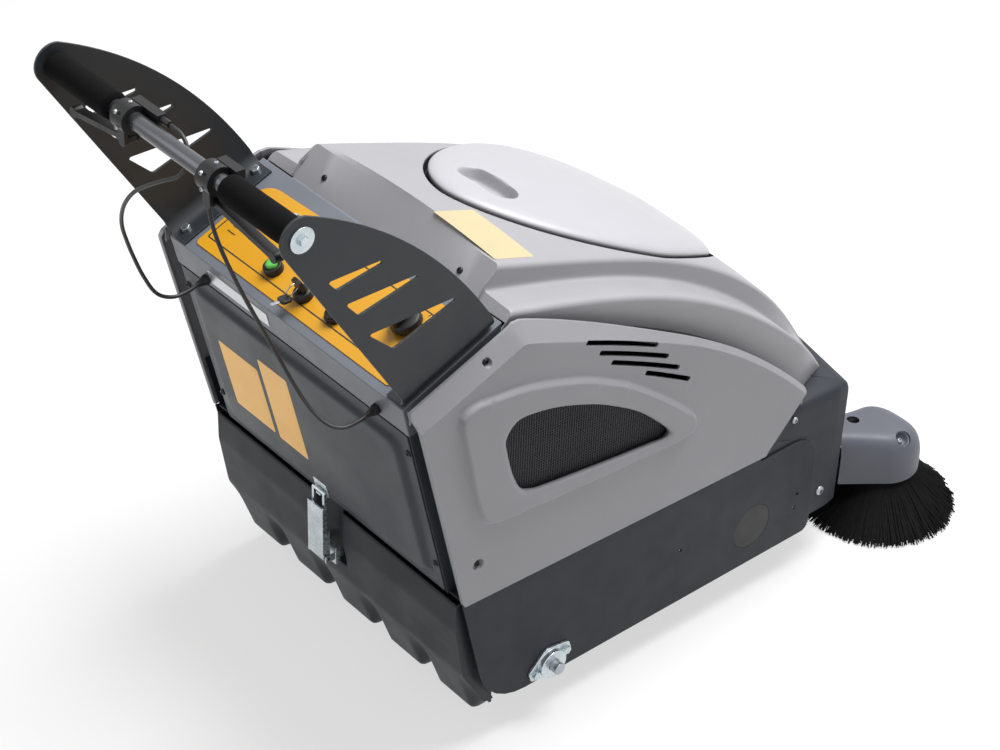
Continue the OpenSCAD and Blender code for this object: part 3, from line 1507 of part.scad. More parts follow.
module side_brush_motor() {
    color("#6a6d73") translate([sweep_x, sweep_y, 0]) difference() {
        translate([0, 0, sweep_motor_z]) cylinder(h = sweep_motor_h, r = sweep_motor_r);
        translate([0, 0, sweep_motor_z - over]) cylinder(h = sweep_shaft_in + over, r = sweep_shaft_r + fit);
    }
}

module side_brush_disc() {
    color("#303237") translate([sweep_x, sweep_y, 0]) {
        translate([0, 0, disc_z]) cylinder(h = disc_t, r = disc_r);
        translate([0, 0, disc_z]) cylinder(h = sweep_motor_z + sweep_shaft_in - slack - disc_z,
            r = sweep_shaft_r);
    }
}

// One bristle strand: three sides from the backing down and outwards to the floor
module strand(r0, r1) {
    z0 = disc_z - slice_t / 2;
    points = [for (p = [[r0, z0], [r1, sweep_floor_gap]]) for (k = [0 : 2])
        [p[0] + strand_w * cos(120 * k), strand_w * sin(120 * k), p[1]]];
    polyhedron(points, [[0, 2, 1], [3, 4, 5], [0, 1, 4], [0, 4, 3], [1, 2, 5], [1, 5, 4], [2, 0, 3], [2,
        3, 5]]);
}

module side_brush_bristles() {
    color("#141415") translate([sweep_x, sweep_y, 0]) {
        for (i = [0 : slice_parts - 1]) hull() for (j = [0, 1])
            rotate(360 * (i + j) / slice_parts) translate([disc_r * slice_inner_share, -slack / 2,
                disc_z - slice_t])
                cube([disc_r * (1 - slice_inner_share) - slack, slack, slice_t]);
        for (k = [0 : strand_rings - 1]) for (i = [0 : strand_count - 1])
            rotate(360 * (i + 0.5 * (k % 2)) / strand_count)
                strand(disc_r * strand_top_shares[k], sweep_d / 2 * strand_foot_shares[k] - strand_w);
    }
}

// Front castor: swivelling fork and wheel under the shelf
castor_trail = 18;
castor_w = 32;
fork_t = 5;
fork_gap = 2;
fork_plate_t = 8;
fork_head = 5;
castor_axle_r = 6;
fork_half = castor_w / 2 + fork_gap;
fork_d = 26;
fork_head_r = 20;
fork_nut_r = 13;

module castor_fork() {
    head_z = castor_d + fork_head;
    color("#9a9da2") difference() {
        union() {
            translate([0, castor_y, head_z]) cylinder(h = shelf_z - gap - head_z, r = fork_head_r);
            translate([0, castor_y, shelf_z - gap]) cylinder(h = plate_t + 2 * gap, r = stem_r);
            translate([0, castor_y, shelf_z + plate_t + gap]) cylinder(h = fork_plate_t, r = fork_nut_r);
            translate([-fork_half - fork_t, castor_y - castor_trail - fork_d / 2, head_z])
                cube([2 * (fork_half + fork_t), castor_trail + fork_d, fork_plate_t]);
            for (x = [-fork_half - fork_t, fork_half])
                translate([x, castor_y - castor_trail - fork_d / 2, castor_d / 2 - fork_d / 2])
                    cube([fork_t, fork_d, head_z + fork_plate_t - castor_d / 2 + fork_d / 2]);
        }
    }
    color("#9a9da2") rod_x(-fork_half, fork_half, castor_y - castor_trail, castor_d / 2, castor_axle_r);
}

module castor_wheel() {
    color("#2a2a2c") translate([-castor_w / 2, castor_y - castor_trail, castor_d / 2]) rotate([0, 90, 0])
        rotate_extrude() polygon(rounded([[castor_axle_r + fit, 0, 0],
            [castor_d / 2, 0, castor_w / 4], [castor_d / 2, castor_w, castor_w / 4], [castor_axle_r + fit,
                castor_w, 0]]));
}

right_side_plate();
left_side_plate();
chassis_deck();
front_cowl();
front_skirt();
hood();
right_side_cover();
left_side_cover();
window_grilles();
side_plate_plugs();
control_console();
control_fascia();
hour_gauge();
key_switch();
charge_socket();
data_plate();
cable_glands();
rear_panel();
cover_screws();
right_handle_plate();
left_handle_plate();
handlebar_tube();
right_grip();
left_grip();
right_lever_clamp();
left_lever_clamp();
hex_bolts();
drive_cable();
lift_cable();
axle_bearings();
brush_bearings();
drive_motor();
brush_belt();
battery();
panel_filter();
suction_fan();
latch_keeper();
hood_catch();
drive_axle();
wheel_hubs();
wheel_tyres();
main_brush_core();
main_brush_bristles();
brush_pulley();
motor_pulley();
side_brush_arm();
side_brush_motor();
side_brush_disc();
side_brush_bristles();
castor_fork();
castor_wheel();
hopper();
latch_lever();
latch_bail();
filter_lid();
drive_lever();
lift_lever();
ignition_key();
start_button();
speed_knob();
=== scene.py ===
"""Looks of the walk-behind floor sweeper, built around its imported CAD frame. Lengths are in mm."""
import json
import random
from math import acos, atan2, copysign, cos, dist, pi, radians, sin, sqrt, tan

import bmesh
import bpy
from mathutils import Matrix, Vector
from mathutils.geometry import delaunay_2d_cdt, interpolate_bezier


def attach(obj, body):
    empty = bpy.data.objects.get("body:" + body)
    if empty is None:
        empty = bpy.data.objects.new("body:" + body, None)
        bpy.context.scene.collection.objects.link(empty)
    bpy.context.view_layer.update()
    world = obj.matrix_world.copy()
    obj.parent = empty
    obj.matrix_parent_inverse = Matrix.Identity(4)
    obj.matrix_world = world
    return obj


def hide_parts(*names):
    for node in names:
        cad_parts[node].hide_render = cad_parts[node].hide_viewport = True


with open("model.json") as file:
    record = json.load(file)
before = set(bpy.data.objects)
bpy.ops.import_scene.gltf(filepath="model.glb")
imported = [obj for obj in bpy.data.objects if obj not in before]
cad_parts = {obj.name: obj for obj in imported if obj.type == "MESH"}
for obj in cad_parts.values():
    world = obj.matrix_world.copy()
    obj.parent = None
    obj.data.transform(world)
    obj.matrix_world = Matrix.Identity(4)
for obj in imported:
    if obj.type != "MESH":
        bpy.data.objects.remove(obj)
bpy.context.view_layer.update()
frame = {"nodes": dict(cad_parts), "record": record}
scene = bpy.context.scene
rng = random.Random(41)
MM = 0.001
NODES = frame["nodes"]
BODY = {n: b for b, ns in frame["record"]["behaviour"]["bodies"].items() for n in ns}

# ---- places that the CAD settles
SEAM_Z, STRIP_Z, CON_Z = 303.0, 624.0, 674.0
LEAN, TILT = radians(13.4), radians(23)
REAR_Y, PANEL_H = -176.0, 321.0
PANEL_RUN = PANEL_H / cos(LEAN)


def rear_y(z):
    return REAR_Y - (z - SEAM_Z) * tan(LEAN)


CON_Y, CON_LEN = rear_y(CON_Z), 172.0
FAR_Y, FAR_Z = CON_Y + CON_LEN, CON_Z + CON_LEN * tan(TILT)
PLATE_IN, COVER_X, SHELF_X, PLATEAU_X, HANDLE_X = 308.0, 315.0, 276.0, 212.0, 283.0
HANDLE_Y, HANDLE_Z = CON_Y - 166, CON_Z + 339
BRUSH_Y, BRUSH_Z = 435.0, 145.0
FRONT_Y = 573.0
FOOT_Y, FOOT_Z = FAR_Y + 8, FAR_Z - 6
HOOD_Z, NOSE_Z, COWL_TOP = 786.0, 336.0, 330.0
HOOD_REAR, HOOD_FRONT = FOOT_Y + 42, FRONT_Y + 87
TIER_Z, TIER_Y, TIER_FRONT = 755.0, FOOT_Y + 15, FRONT_Y + 67
RIM_Z, RIM_Y, RIM_FRONT = 741.0, FOOT_Y + 12, FRONT_Y + 55
ARM_HINGE = (240.0, 640.0, 166.0)
SWEEP = (270.0, 797.0)


def fall(y, y0, y1, z0, z1, a, b, power):
    """Height of a line that falls from z0 at y0 to z1 at y1, ever more steeply."""
    t = max(0.0, min(1.0, (y - y0) / (y1 - y0)))
    return z0 - (z0 - z1) * (a * t + b * t ** power)


def plateau(y):
    return fall(y, HOOD_REAR, HOOD_FRONT, HOOD_Z, NOSE_Z, 0.52, 0.48, 4)


def tier(y):
    return fall(y, TIER_Y, TIER_FRONT, TIER_Z, NOSE_Z, 0.45, 0.55, 3)


def rim(y):
    return max(COWL_TOP, fall(y, RIM_Y, RIM_FRONT, RIM_Z, NOSE_Z - 64, 0.57, 0.43, 3))


# ---- camera, as solved from the photograph
AZ, EL, ROLL = radians(48.18), radians(35.61), radians(2.37)
CAMERA_AT = (2.304, -1.896, 2.599)
look = Vector((-sin(AZ) * cos(EL), cos(AZ) * cos(EL), -sin(EL)))
level = Vector((cos(AZ), sin(AZ), 0))
side = level * cos(ROLL) + level.cross(look) * sin(ROLL)
cam = bpy.data.cameras.new("photo_camera")
cam.sensor_width, cam.sensor_fit, cam.lens = 36.0, "HORIZONTAL", 86.72
cam.shift_x, cam.shift_y = -0.0051, 0.0016
cam.clip_end = 60
camera = bpy.data.objects.new("photo_camera", cam)
turn = Matrix((side, (-look).cross(side), -look)).transposed().to_4x4()
camera.matrix_world = Matrix.Translation(CAMERA_AT) @ turn
scene.collection.objects.link(camera)
scene.camera = camera


# ---- materials
def srgb(code):
    parts = [int(code[i:i + 2], 16) / 255 for i in (0, 2, 4)]
    return [c / 12.92 if c <= 0.04045 else ((c + 0.055) / 1.055) ** 2.4 for c in parts]


def node(tree, kind, inputs, output=0, **settings):
    """Adds a shader node. Each input is a constant or another node's output."""
    n = tree.nodes.new("ShaderNode" + kind)
    for key, value in settings.items():
        setattr(n, key, value)
    for key, value in inputs.items():
        if isinstance(value, bpy.types.NodeSocket):
            tree.links.new(value, n.inputs[key])
        else:
            n.inputs[key].default_value = value
    return n.outputs[output] if n.outputs else None


def material(name, code, rough, metal=0.0, mottle=0.07, patch=7.0, grain=0.1, pore=900.0, spread=0.06,
             wear=None, brushed=None, shine=0.5, coat=0.0, cells=None):
    """A procedural finish: mottled colour, uneven roughness, a fine surface grain, and optional worn edges."""
    m = bpy.data.materials.new(name)
    m.use_nodes = True
    tree = m.node_tree
    where = node(tree, "TexCoord", {}, "Object")
    streaked = node(tree, "Mapping", {"Scale": brushed, "Vector": where}) if brushed else where

    def noise(scale, detail, vector):
        return node(tree, "TexNoise", {"Scale": scale, "Detail": detail, "Vector": vector}, "Fac")

    def blend(fac, a, b):
        a, b = (v if isinstance(v, bpy.types.NodeSocket) else (*v, 1) for v in (a, b))
        return node(tree, "Mix", {0: fac, 6: a, 7: b}, 2, data_type="RGBA")

    def remap(value, low, high, to_low, to_high):
        return node(tree, "MapRange", {0: value, 1: low, 2: high, 3: to_low, 4: to_high})

    base = srgb(code)
    colour = blend(remap(noise(patch, 5, where), 0.3, 0.7, 0, 1), [c * (1 - mottle) for c in base],
                   [min(1, c * (1 + mottle)) for c in base])
    if cells:
        scale, dark, strength = cells
        apart = node(tree, "TexVoronoi", {"Scale": scale, "Vector": where}, "Distance")
        colour = blend(remap(apart, 0.1, 0.6, strength, 0), colour, srgb(dark))
    if wear:
        bright, amount = wear
        soft = node(tree, "Bevel", {"Radius": 0.0016}, "Normal", samples=4)
        flat = node(tree, "NewGeometry", {}, "Normal")
        dot = node(tree, "VectorMath", {0: soft, 1: flat}, "Value", operation="DOT_PRODUCT")
        edge = remap(dot, 0.99, 0.8, 0, amount)
        broken = remap(noise(130, 4, where), 0.42, 0.6, 0, 1)
        colour = blend(node(tree, "Math", {0: edge, 1: broken}, operation="MULTIPLY"), colour, srgb(bright))
    uneven = remap(noise(patch * 4, 4, streaked), 0.3, 0.7, max(0.02, rough - spread), min(1, rough + spread))
    bump = node(tree, "Bump", {"Strength": grain, "Distance": 0.0006, "Height": noise(pore, 3, streaked)}, "Normal")
    bsdf = tree.nodes["Principled BSDF"]
    for key, value in (("Metallic", metal), ("Specular IOR Level", shine), ("Coat Weight", coat)):
        bsdf.inputs[key].default_value = value
    for key, value in (("Base Color", colour), ("Roughness", uneven), ("Normal", bump)):
        tree.links.new(value, bsdf.inputs[key])
    return m


FINISH = {name: material(name, code, rough, **more) for name, code, rough, more in (
    ("dark_plate", "21242a", 0.46, dict(shine=0.2, wear=("6b6e76", 0.35), grain=0.12, pore=1300)),
    ("deck_paint", "34373d", 0.5, dict(wear=("6b6e75", 0.4))),
    ("dark_plastic", "4e515a", 0.5, dict(grain=0.22, pore=1100, patch=5)),
    ("cover_grey", "858488", 0.46, dict(mottle=0.035, grain=0.16, pore=1200, patch=4)),
    # hood_grey and lid_grey are the covers' grey plastic painted lighter: painted light for the lit upper faces of hood
    # and lid
    ("hood_grey", "8f8e92", 0.44, dict(mottle=0.03, grain=0.14, pore=1200, patch=4)),
    ("lid_grey", "a2a1a6", 0.4, dict(mottle=0.025, pore=1200, patch=4)),
    ("black_plastic", "111113", 0.42, dict(shine=0.35, grain=0.2, pore=1500, mottle=0.15)),
    ("mesh_black", "343437", 0.5, dict(metal=0.4, mottle=0.2)),
    ("console_paint", "646870", 0.38, dict(wear=("9a9da3", 0.5), grain=0.08, pore=1300)),
    ("fascia_yellow", "c78f14", 0.4, dict(mottle=0.04, grain=0.07, pore=1700, coat=0.15)),
    ("chrome_rim", "c8c8cc", 0.16, dict(metal=1.0, mottle=0.05, spread=0.05, grain=0.03)),
    ("bare_plate", "cfd0d2", 0.34, dict(metal=0.85, brushed=(4, 90, 90), pore=90, grain=0.12)),
    ("panel_paint", "292f35", 0.38, dict(shine=0.26, pore=1200, wear=("7d8087", 0.35), patch=3)),
    ("screw_black", "2a2a2c", 0.35, dict(metal=0.8, mottle=0.2)),
    ("handle_black", "24282c", 0.42, dict(shine=0.35, wear=("7d8084", 0.5), grain=0.14, pore=1400)),
    ("tube_paint", "5c5d62", 0.24, dict(metal=0.75, mottle=0.1, brushed=(6, 60, 60), pore=60, grain=0.06)),
    ("foam", "0c0c0d", 0.96, dict(shine=0.1, mottle=0.25, grain=0.9, pore=1600, cells=(700, "060606", 0.8))),
    ("zinc", "c3ccd0", 0.3, dict(metal=0.95, mottle=0.12, patch=45, spread=0.12, grain=0.06)),
    ("cable_black", "0b0b0c", 0.45, dict(mottle=0.2, grain=0.25, pore=2000)),
    ("steel", "a9acb1", 0.32, dict(metal=1.0, mottle=0.12, patch=30, spread=0.1, grain=0.05)),
    ("motor_paint", "53565c", 0.45, dict(mottle=0.1)),
    ("belt_rubber", "1a1a1b", 0.8, dict(mottle=0.2, grain=0.3)),
    ("battery_case", "2f3136", 0.5, dict(grain=0.25)),
    ("filter_paper", "d8d4c4", 0.9, dict(mottle=0.08, grain=0.4, pore=1500)),
    ("hub_alloy", "6e7076", 0.4, dict(metal=0.5, mottle=0.1)),
    ("tyre_black", "1c1c1e", 0.78, dict(mottle=0.2, grain=0.4, pore=800)),
    ("roller_core", "3a3c40", 0.5, dict(mottle=0.1)),
    ("bristle_black", "080809", 0.65, dict(shine=0.1, mottle=0.35, patch=120)),
    ("hopper_plastic", "202428", 0.46, dict(shine=0.22, grain=0.2, pore=1100, mottle=0.06, patch=4)),
    ("button_green", "57b947", 0.3, dict(mottle=0.12, patch=60, coat=0.3, grain=0.05)))}
# Finishes that the record has no slot for, each with the slot it borrows
SLOT = {}
for name, slot, code, rough, more in (
        ("print_ink", "screw_black", "26241f", 0.5, dict(mottle=0.15, patch=60)),
        ("label_yellow", "fascia_yellow", "b4a682", 0.45, dict(mottle=0.05, patch=14, pore=1800)),
        ("label_orange", "fascia_yellow", "ffc262", 0.42, dict(mottle=0.05, patch=14, pore=1800)),
        ("skirt_rubber", "tyre_black", "1d1d1f", 0.75, dict(mottle=0.2, grain=0.4)),
        ("cowl_plastic", "dark_plastic", "282b32", 0.5, dict(shine=0.22, grain=0.22, pore=1100, patch=5)),
        # This near-black finish is painted shade for the gaps round the lid and between the hood and the covers
        ("lid_seal", "black_plastic", "1a1a1c", 0.7, dict(shine=0.3, mottle=0.15, grain=0.3)),
        ("dial_face", "bare_plate", "e9e7df", 0.35, dict(mottle=0.03, patch=40))):
    FINISH[name], SLOT[name] = material(name, code, rough, **more), slot


# ---- outlines
def span(a, b, n):
    """n + 1 values from a to b."""
    return [a + (b - a) * k / n for k in range(n + 1)]


def polar(r, a, at=(0, 0)):
    return at[0] + r * cos(a), at[1] + r * sin(a)


def circle(r, n, at=(0, 0)):
    return [polar(r, 2 * pi * k / n, at) for k in range(n)]


def around(loop):
    """Neighbouring points of a closed outline, in pairs."""
    return zip(loop, loop[1:] + loop[:1])


def arc_corner(a, p, b, r, n=6):
    a, p, b = Vector(a), Vector(p), Vector(b)
    u, v = (a - p).normalized(), (b - p).normalized()
    half = acos(max(-1, min(1, u.dot(v)))) / 2
    c = p + (u + v).normalized() * (r / sin(half))
    s, e = p + u * (r / tan(half)) - c, p + v * (r / tan(half)) - c
    start = atan2(s.y, s.x)
    swing = atan2(s.x * e.y - s.y * e.x, s.dot(e))
    return [polar(r, start + swing * i / n, c) for i in range(n + 1)]


def rounded(corners, n=6):
    """An outline from corners (x, y, radius)."""
    out = []
    for i, (x, y, r) in enumerate(corners):
        if r == 0:
            out.append((x, y))
        else:
            out += arc_corner(corners[i - 1][:2], (x, y), corners[(i + 1) % len(corners)][:2], r, n)
    return out


def box(x0, y0, x1, y1, r, n=6):
    return rounded([(x0, y0, r), (x1, y0, r), (x1, y1, r), (x0, y1, r)], n)


def resample(loop, step):
    """Points evenly spaced round a closed outline."""
    out = []
    for a, b in around(loop):
        a, b = Vector(a), Vector(b)
        n = max(1, round((b - a).length / step))
        out += [tuple(a.lerp(b, k / n)) for k in range(n)]
    return out


def anticlockwise(loop):
    area = sum(a[0] * b[1] - b[0] * a[1] for a, b in around(loop))
    return loop[::-1] if area < 0 else loop


def spline(points, n=6):
    """A smooth closed curve through points."""
    out = []
    for i in range(len(points)):
        a, b, c, d = (Vector(points[(i + k) % len(points)]) for k in (-1, 0, 1, 2))
        for t in [k / n for k in range(n)]:
            out.append(tuple(0.5 * (2 * b + (c - a) * t + (2 * a - 5 * b + 4 * c - d) * t * t
                                    + (3 * b - a - 3 * c + d) * t ** 3)))
    return out


def inside(p, loop):
    hit = False
    for (x0, y0), (x1, y1) in around(loop):
        if (y0 > p[1]) != (y1 > p[1]) and p[0] < (x1 - x0) * (p[1] - y0) / (y1 - y0) + x0:
            hit = not hit
    return hit


def reach(p, loop, closed=True):
    """Distance from a point to an outline."""
    best = 1e9
    px, py = p
    for (x0, y0), (x1, y1) in zip(loop, loop[1:] + (loop[:1] if closed else [])):
        dx, dy = x1 - x0, y1 - y0
        t = max(0.0, min(1.0, ((px - x0) * dx + (py - y0) * dy) / max(1e-9, dx * dx + dy * dy)))
        best = min(best, (px - x0 - t * dx) ** 2 + (py - y0 - t * dy) ** 2)
    return sqrt(best)


def step_up(t):
    """0 to 1, smoothly."""
    t = max(0.0, min(1.0, t))
    return t * t * (3 - 2 * t)


def offsets(loop, distances):
    """Points beside an outline, at distances to its left (inside, when it runs anticlockwise)."""
    out = []
    for i, p in enumerate(loop):
        d = (Vector(loop[(i + 1) % len(loop)]) - Vector(loop[i - 1])).normalized()
        out += [(p[0] - d.y * k, p[1] + d.x * k) for k in distances]
    return out


# ---- frames
def on_console(x, run, up=0.0):
    return Matrix.Translation((0, CON_Y, CON_Z)) @ Matrix.Rotation(TILT, 4, "X") @ Matrix.Translation((x, run, up))


def on_rear(x, up):
    """Local Z points out of the rear panel, local X to the right and local Y up the panel."""
    return (Matrix.Translation((0, REAR_Y, SEAM_Z)) @ Matrix.Rotation(LEAN, 4, "X")
            @ Matrix.Translation((x, 0, up)) @ Matrix.Rotation(pi / 2, 4, "X"))


def facing(point, normal):
    """Frame at a point whose Z is along a normal."""
    return Matrix.Translation(point) @ Vector(normal).to_track_quat("Z", "Y").to_matrix().to_4x4()


def outward(x):
    """Frame whose X and Y are the machine's Y and Z, and whose Z points to the right."""
    return Matrix.Translation((x, 0, 0)) @ Matrix(((0, 0, 1, 0), (1, 0, 0, 0), (0, 1, 0, 0), (0, 0, 0, 1)))


def along_x(x, y, z):
    """Frame at a point whose Z is along the machine's X."""
    return Matrix.Translation((x, y, z)) @ Matrix.Rotation(pi / 2, 4, "Y")


def spun(place, degrees):
    return place @ Matrix.Rotation(radians(degrees), 4, "Z")


# ---- mesh tools
class Solid:
    """Vertices in mm and faces, gathered from lofts, lathes and blocks."""

    def __init__(self):
        self.v, self.f = [], []

    def add(self, verts, faces):
        k = len(self.v)
        self.v += [Vector(p) for p in verts]
        self.f += [tuple(i + k for i in f) for f in faces]
        return self

    def face(self, verts):
        return self.add(verts, [tuple(range(len(verts)))])

    def loft(self, loops, closed=True, start=False, end=False):
        n = len(loops[0])
        faces = []
        for i in range(len(loops) - 1):
            for j in range(n if closed else n - 1):
                a, b = i * n + j, i * n + (j + 1) % n
                faces.append((a, b, b + n, a + n))
        if start:
            faces.append(tuple(reversed(range(n))))
        if end:
            faces.append(tuple(range((len(loops) - 1) * n, len(loops) * n)))
        return self.add([p for loop in loops for p in loop], faces)

    def lathe(self, place, profile, n=36, start=True, end=True):
        return self.loft([[place @ Vector((*p, z)) for p in circle(r, n)] for r, z in profile], start=start, end=end)

    def prism(self, place, outline, z0, z1):
        return self.loft([[place @ Vector((*p, z)) for p in outline] for z in (z0, z1)], start=True, end=True)

    def block(self, place, low, high):
        corners = [(low[0], low[1]), (high[0], low[1]), (high[0], high[1]), (low[0], high[1])]
        return self.prism(place, corners, low[2], high[2])

    def tube(self, points, r, n=10):
        loops, across = [], None
        for i, p in enumerate(points):
            d = (points[min(i + 1, len(points) - 1)] - points[max(i - 1, 0)]).normalized()
            if across is None:
                across = d.orthogonal().normalized()
            across = (across - across.dot(d) * d).normalized()
            up = d.cross(across)
            loops.append([p + across * u + up * v for u, v in circle(r, n)])
        return self.loft(loops, start=True, end=True)

    def mirrored(self):
        return Solid().add([(-p[0], p[1], p[2]) for p in self.v], [tuple(reversed(f)) for f in self.f])

    def doubled(self):
        """This solid and its mirror image on the other side of the machine."""
        other = self.mirrored()
        return Solid().add(self.v, self.f).add(other.v, other.f)


def notched(place, rows, n, every):
    """Rings of rows (radius, z, notch), with a notch at every so many of n points."""
    return [[place @ Vector((*polar(r - (notch if k % every == 0 else 0), 2 * pi * k / n), z)) for k in range(n)]
            for r, z, notch in rows]


def sheet_mesh(place, outline, holes, extra, pitch, height):
    """A triangulated sheet over an outline with holes, lifted along local Z by height(u, v)."""
    loops = [outline] + holes
    pts, edges = [], []
    for loop in loops:
        k = len(pts)
        pts += [Vector(p) for p in loop]
        edges += [(k + i, k + (i + 1) % len(loop)) for i in range(len(loop))]

    def within(p):
        return inside(p, outline) and not any(inside(p, h) for h in holes)

    def cell(p):
        return round(p[0] / pitch * 2), round(p[1] / pitch * 2)

    u0, u1 = min(p[0] for p in outline), max(p[0] for p in outline)
    v0, v1 = min(p[1] for p in outline), max(p[1] for p in outline)
    grid = [(u0 + i * pitch + (j % 2) * pitch / 2, v0 + j * pitch * 0.87)
            for j in range(int((v1 - v0) / pitch / 0.87) + 1) for i in range(int((u1 - u0) / pitch) + 1)]
    kept = [p for p in extra if within(p) and min(reach(p, loop) for loop in loops) > 0.2]
    near = {cell(p) for p in kept}
    kept += [p for p in grid if cell(p) not in near and within(p)
             and min(reach(p, loop) for loop in loops) >= pitch * 0.4]
    pts += [Vector(p) for p in kept]
    verts, _, faces, *_ = delaunay_2d_cdt(pts, edges, [], 0, 1e-4)
    good = [tuple(f) for f in faces if within((sum(verts[i].x for i in f) / 3, sum(verts[i].y for i in f) / 3))]
    return Solid().add([place @ Vector((p.x, p.y, height(p.x, p.y))) for p in verts], good)


def socket_screw(solid, place, r, h):
    """A button head with a hexagonal recess."""
    n = 24
    loops = [[place @ Vector((*p, z)) for p in circle(q, n)]
             for q, z in ((r, 0), (r, h * 0.35), (r * 0.86, h * 0.75), (r * 0.62, h))]
    turns = [2 * pi * k / n for k in range(n)]
    hexa = [polar(r * 0.45 / cos((d % (pi / 3)) - pi / 6) * 0.95, d) for d in turns]
    loops += [[place @ Vector((*p, z)) for p in hexa] for z in (h, h * 0.35)]
    return solid.loft(loops, start=True, end=True)


def strand(solid, path, r0, r1):
    """A three-sided bristle along a path."""
    loops = []
    for i, p in enumerate(path):
        d = (path[min(i + 1, len(path) - 1)] - path[max(i - 1, 0)]).normalized()
        a = d.cross(Vector((0.31, 0.17, 1))).normalized()
        b = d.cross(a)
        r = r0 + (r1 - r0) * i / (len(path) - 1)
        loops.append([p + r * (a * cos(2.094 * k) + b * sin(2.094 * k)) for k in range(3)])
    solid.loft(loops, start=True, end=True)


def mesh_of(name, solid):
    weld = 0.02 * MM
    bm = bmesh.new()
    verts = [bm.verts.new(p * MM) for p in solid.v]
    for f in solid.f:
        if len(set(f)) > 2:
            try:
                bm.faces.new([verts[i] for i in f])
            except ValueError:
                pass
    bmesh.ops.remove_doubles(bm, verts=bm.verts, dist=weld)
    bmesh.ops.dissolve_degenerate(bm, dist=weld, edges=bm.edges)
    bmesh.ops.recalc_face_normals(bm, faces=bm.faces)
    mesh = bpy.data.meshes.new(name)
    bm.to_mesh(mesh)
    bm.free()
    return mesh


def shade(mesh, angle):
    mesh.polygons.foreach_set("use_smooth", [True] * len(mesh.polygons))
    mesh.set_sharp_from_angle(angle=radians(angle))


def piece(name, source, finish, body="chassis", hides=(), bevel=0.0, steps=2, angle=32, wall=0.0, inward=1):
    """Links a mesh as a piece of the part; bevel and wall are in mm."""
    mesh = source if isinstance(source, bpy.types.Mesh) else mesh_of(name, source)
    shade(mesh, angle)
    mesh.materials.append(FINISH[finish])
    o = bpy.data.objects.new(name, mesh)
    scene.collection.objects.link(o)
    if wall:
        m = o.modifiers.new("wall", "SOLIDIFY")
        m.thickness, m.offset = wall * MM, -inward
    if bevel:
        m = o.modifiers.new("edge", "BEVEL")
        m.width, m.segments = bevel * MM, steps
        m.limit_method, m.angle_limit = "ANGLE", radians(angle)
        m.harden_normals = True
    if hides:
        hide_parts(*hides)
    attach(o, body)
    return o


def remade(name, source, finish, **more):
    """A piece that takes the place of the CAD node of this name."""
    return piece(name + "_made", source, finish, BODY[name], [name], **more)


def soften(name, finish, width, steps=2):
    """A CAD node's own shape with its edges rounded."""
    bm = bmesh.new()
    bm.from_mesh(NODES[name].data)
    bmesh.ops.remove_doubles(bm, verts=bm.verts, dist=0.004 * MM)
    bmesh.ops.dissolve_limit(bm, angle_limit=radians(1), verts=bm.verts, edges=bm.edges)
    bm.verts.index_update()
    mesh = bpy.data.meshes.new(name + "_made")
    mesh.from_pydata([v.co.copy() for v in bm.verts], [], [[v.index for v in f.verts] for f in bm.faces])
    bm.free()
    mesh.update()
    return remade(name, mesh, finish, bevel=width, steps=steps, angle=30)


def cut(o, solid):
    """Takes a solid away from a piece's mesh for good."""
    cutter = bpy.data.objects.new("cutter", mesh_of("cutter", solid))
    scene.collection.objects.link(cutter)
    m = o.modifiers.new("cut", "BOOLEAN")
    m.operation, m.solver, m.object = "DIFFERENCE", "EXACT", cutter
    m.use_self = m.use_hole_tolerant = True
    bpy.context.view_layer.update()
    made = bpy.data.meshes.new_from_object(o.evaluated_get(bpy.context.evaluated_depsgraph_get()))
    o.modifiers.clear()
    o.data = made
    bpy.data.objects.remove(cutter)
    made.validate()
    shade(made, 32)


# ---- cords: the two control cables, each a run of points set off from the straight line between its ends
GLAND_UP, GLAND_LONG = PANEL_RUN + 14, 21
DRIVE_GLAND_X, LIFT_GLAND_X = 212, -194
DRIVE_START, LIFT_START = Vector((83, HANDLE_Y, 971)), Vector((-32, HANDLE_Y + 21, 1023))
DRIVE_ROWS = [[0, 0, 0, -10], [0.09, -9, -13, 0], [0.17, -11, -22, -1], [0.27, -16, -29, -1], [0.39, -25, -35, 1],
              [0.5, -33, -37, -2], [0.62, -41, -40, -2], [0.74, -45, -45, -1], [0.85, -43, -51, -1],
              [0.94, -31, -55, -2], [1, -15, -52, 0], [1, -4, -35, -6]]
LIFT_ROWS = [[0, 10, 0, 0], [0.01, 28, -1, 1], [0.03, 45, -6, 0], [0.06, 57, -14, -2], [0.1, 62, -24, -2],
             [0.14, 57, -34, -2], [0.19, 40, -47, 2], [0.24, 17, -59, 1], [0.3, -4, -69, 0], [0.38, -18, -77, 2],
             [0.46, -30, -80, 0], [0.55, -37, -80, -1], [0.65, -38, -77, -1], [0.76, -33, -74, 0],
             [0.87, -22, -70, -1], [0.97, -7, -62, 0], [1, -1, -39, -4]]


def gland_end(x, lead):
    return on_rear(x, GLAND_UP) @ Vector((0, 0, GLAND_LONG + lead))


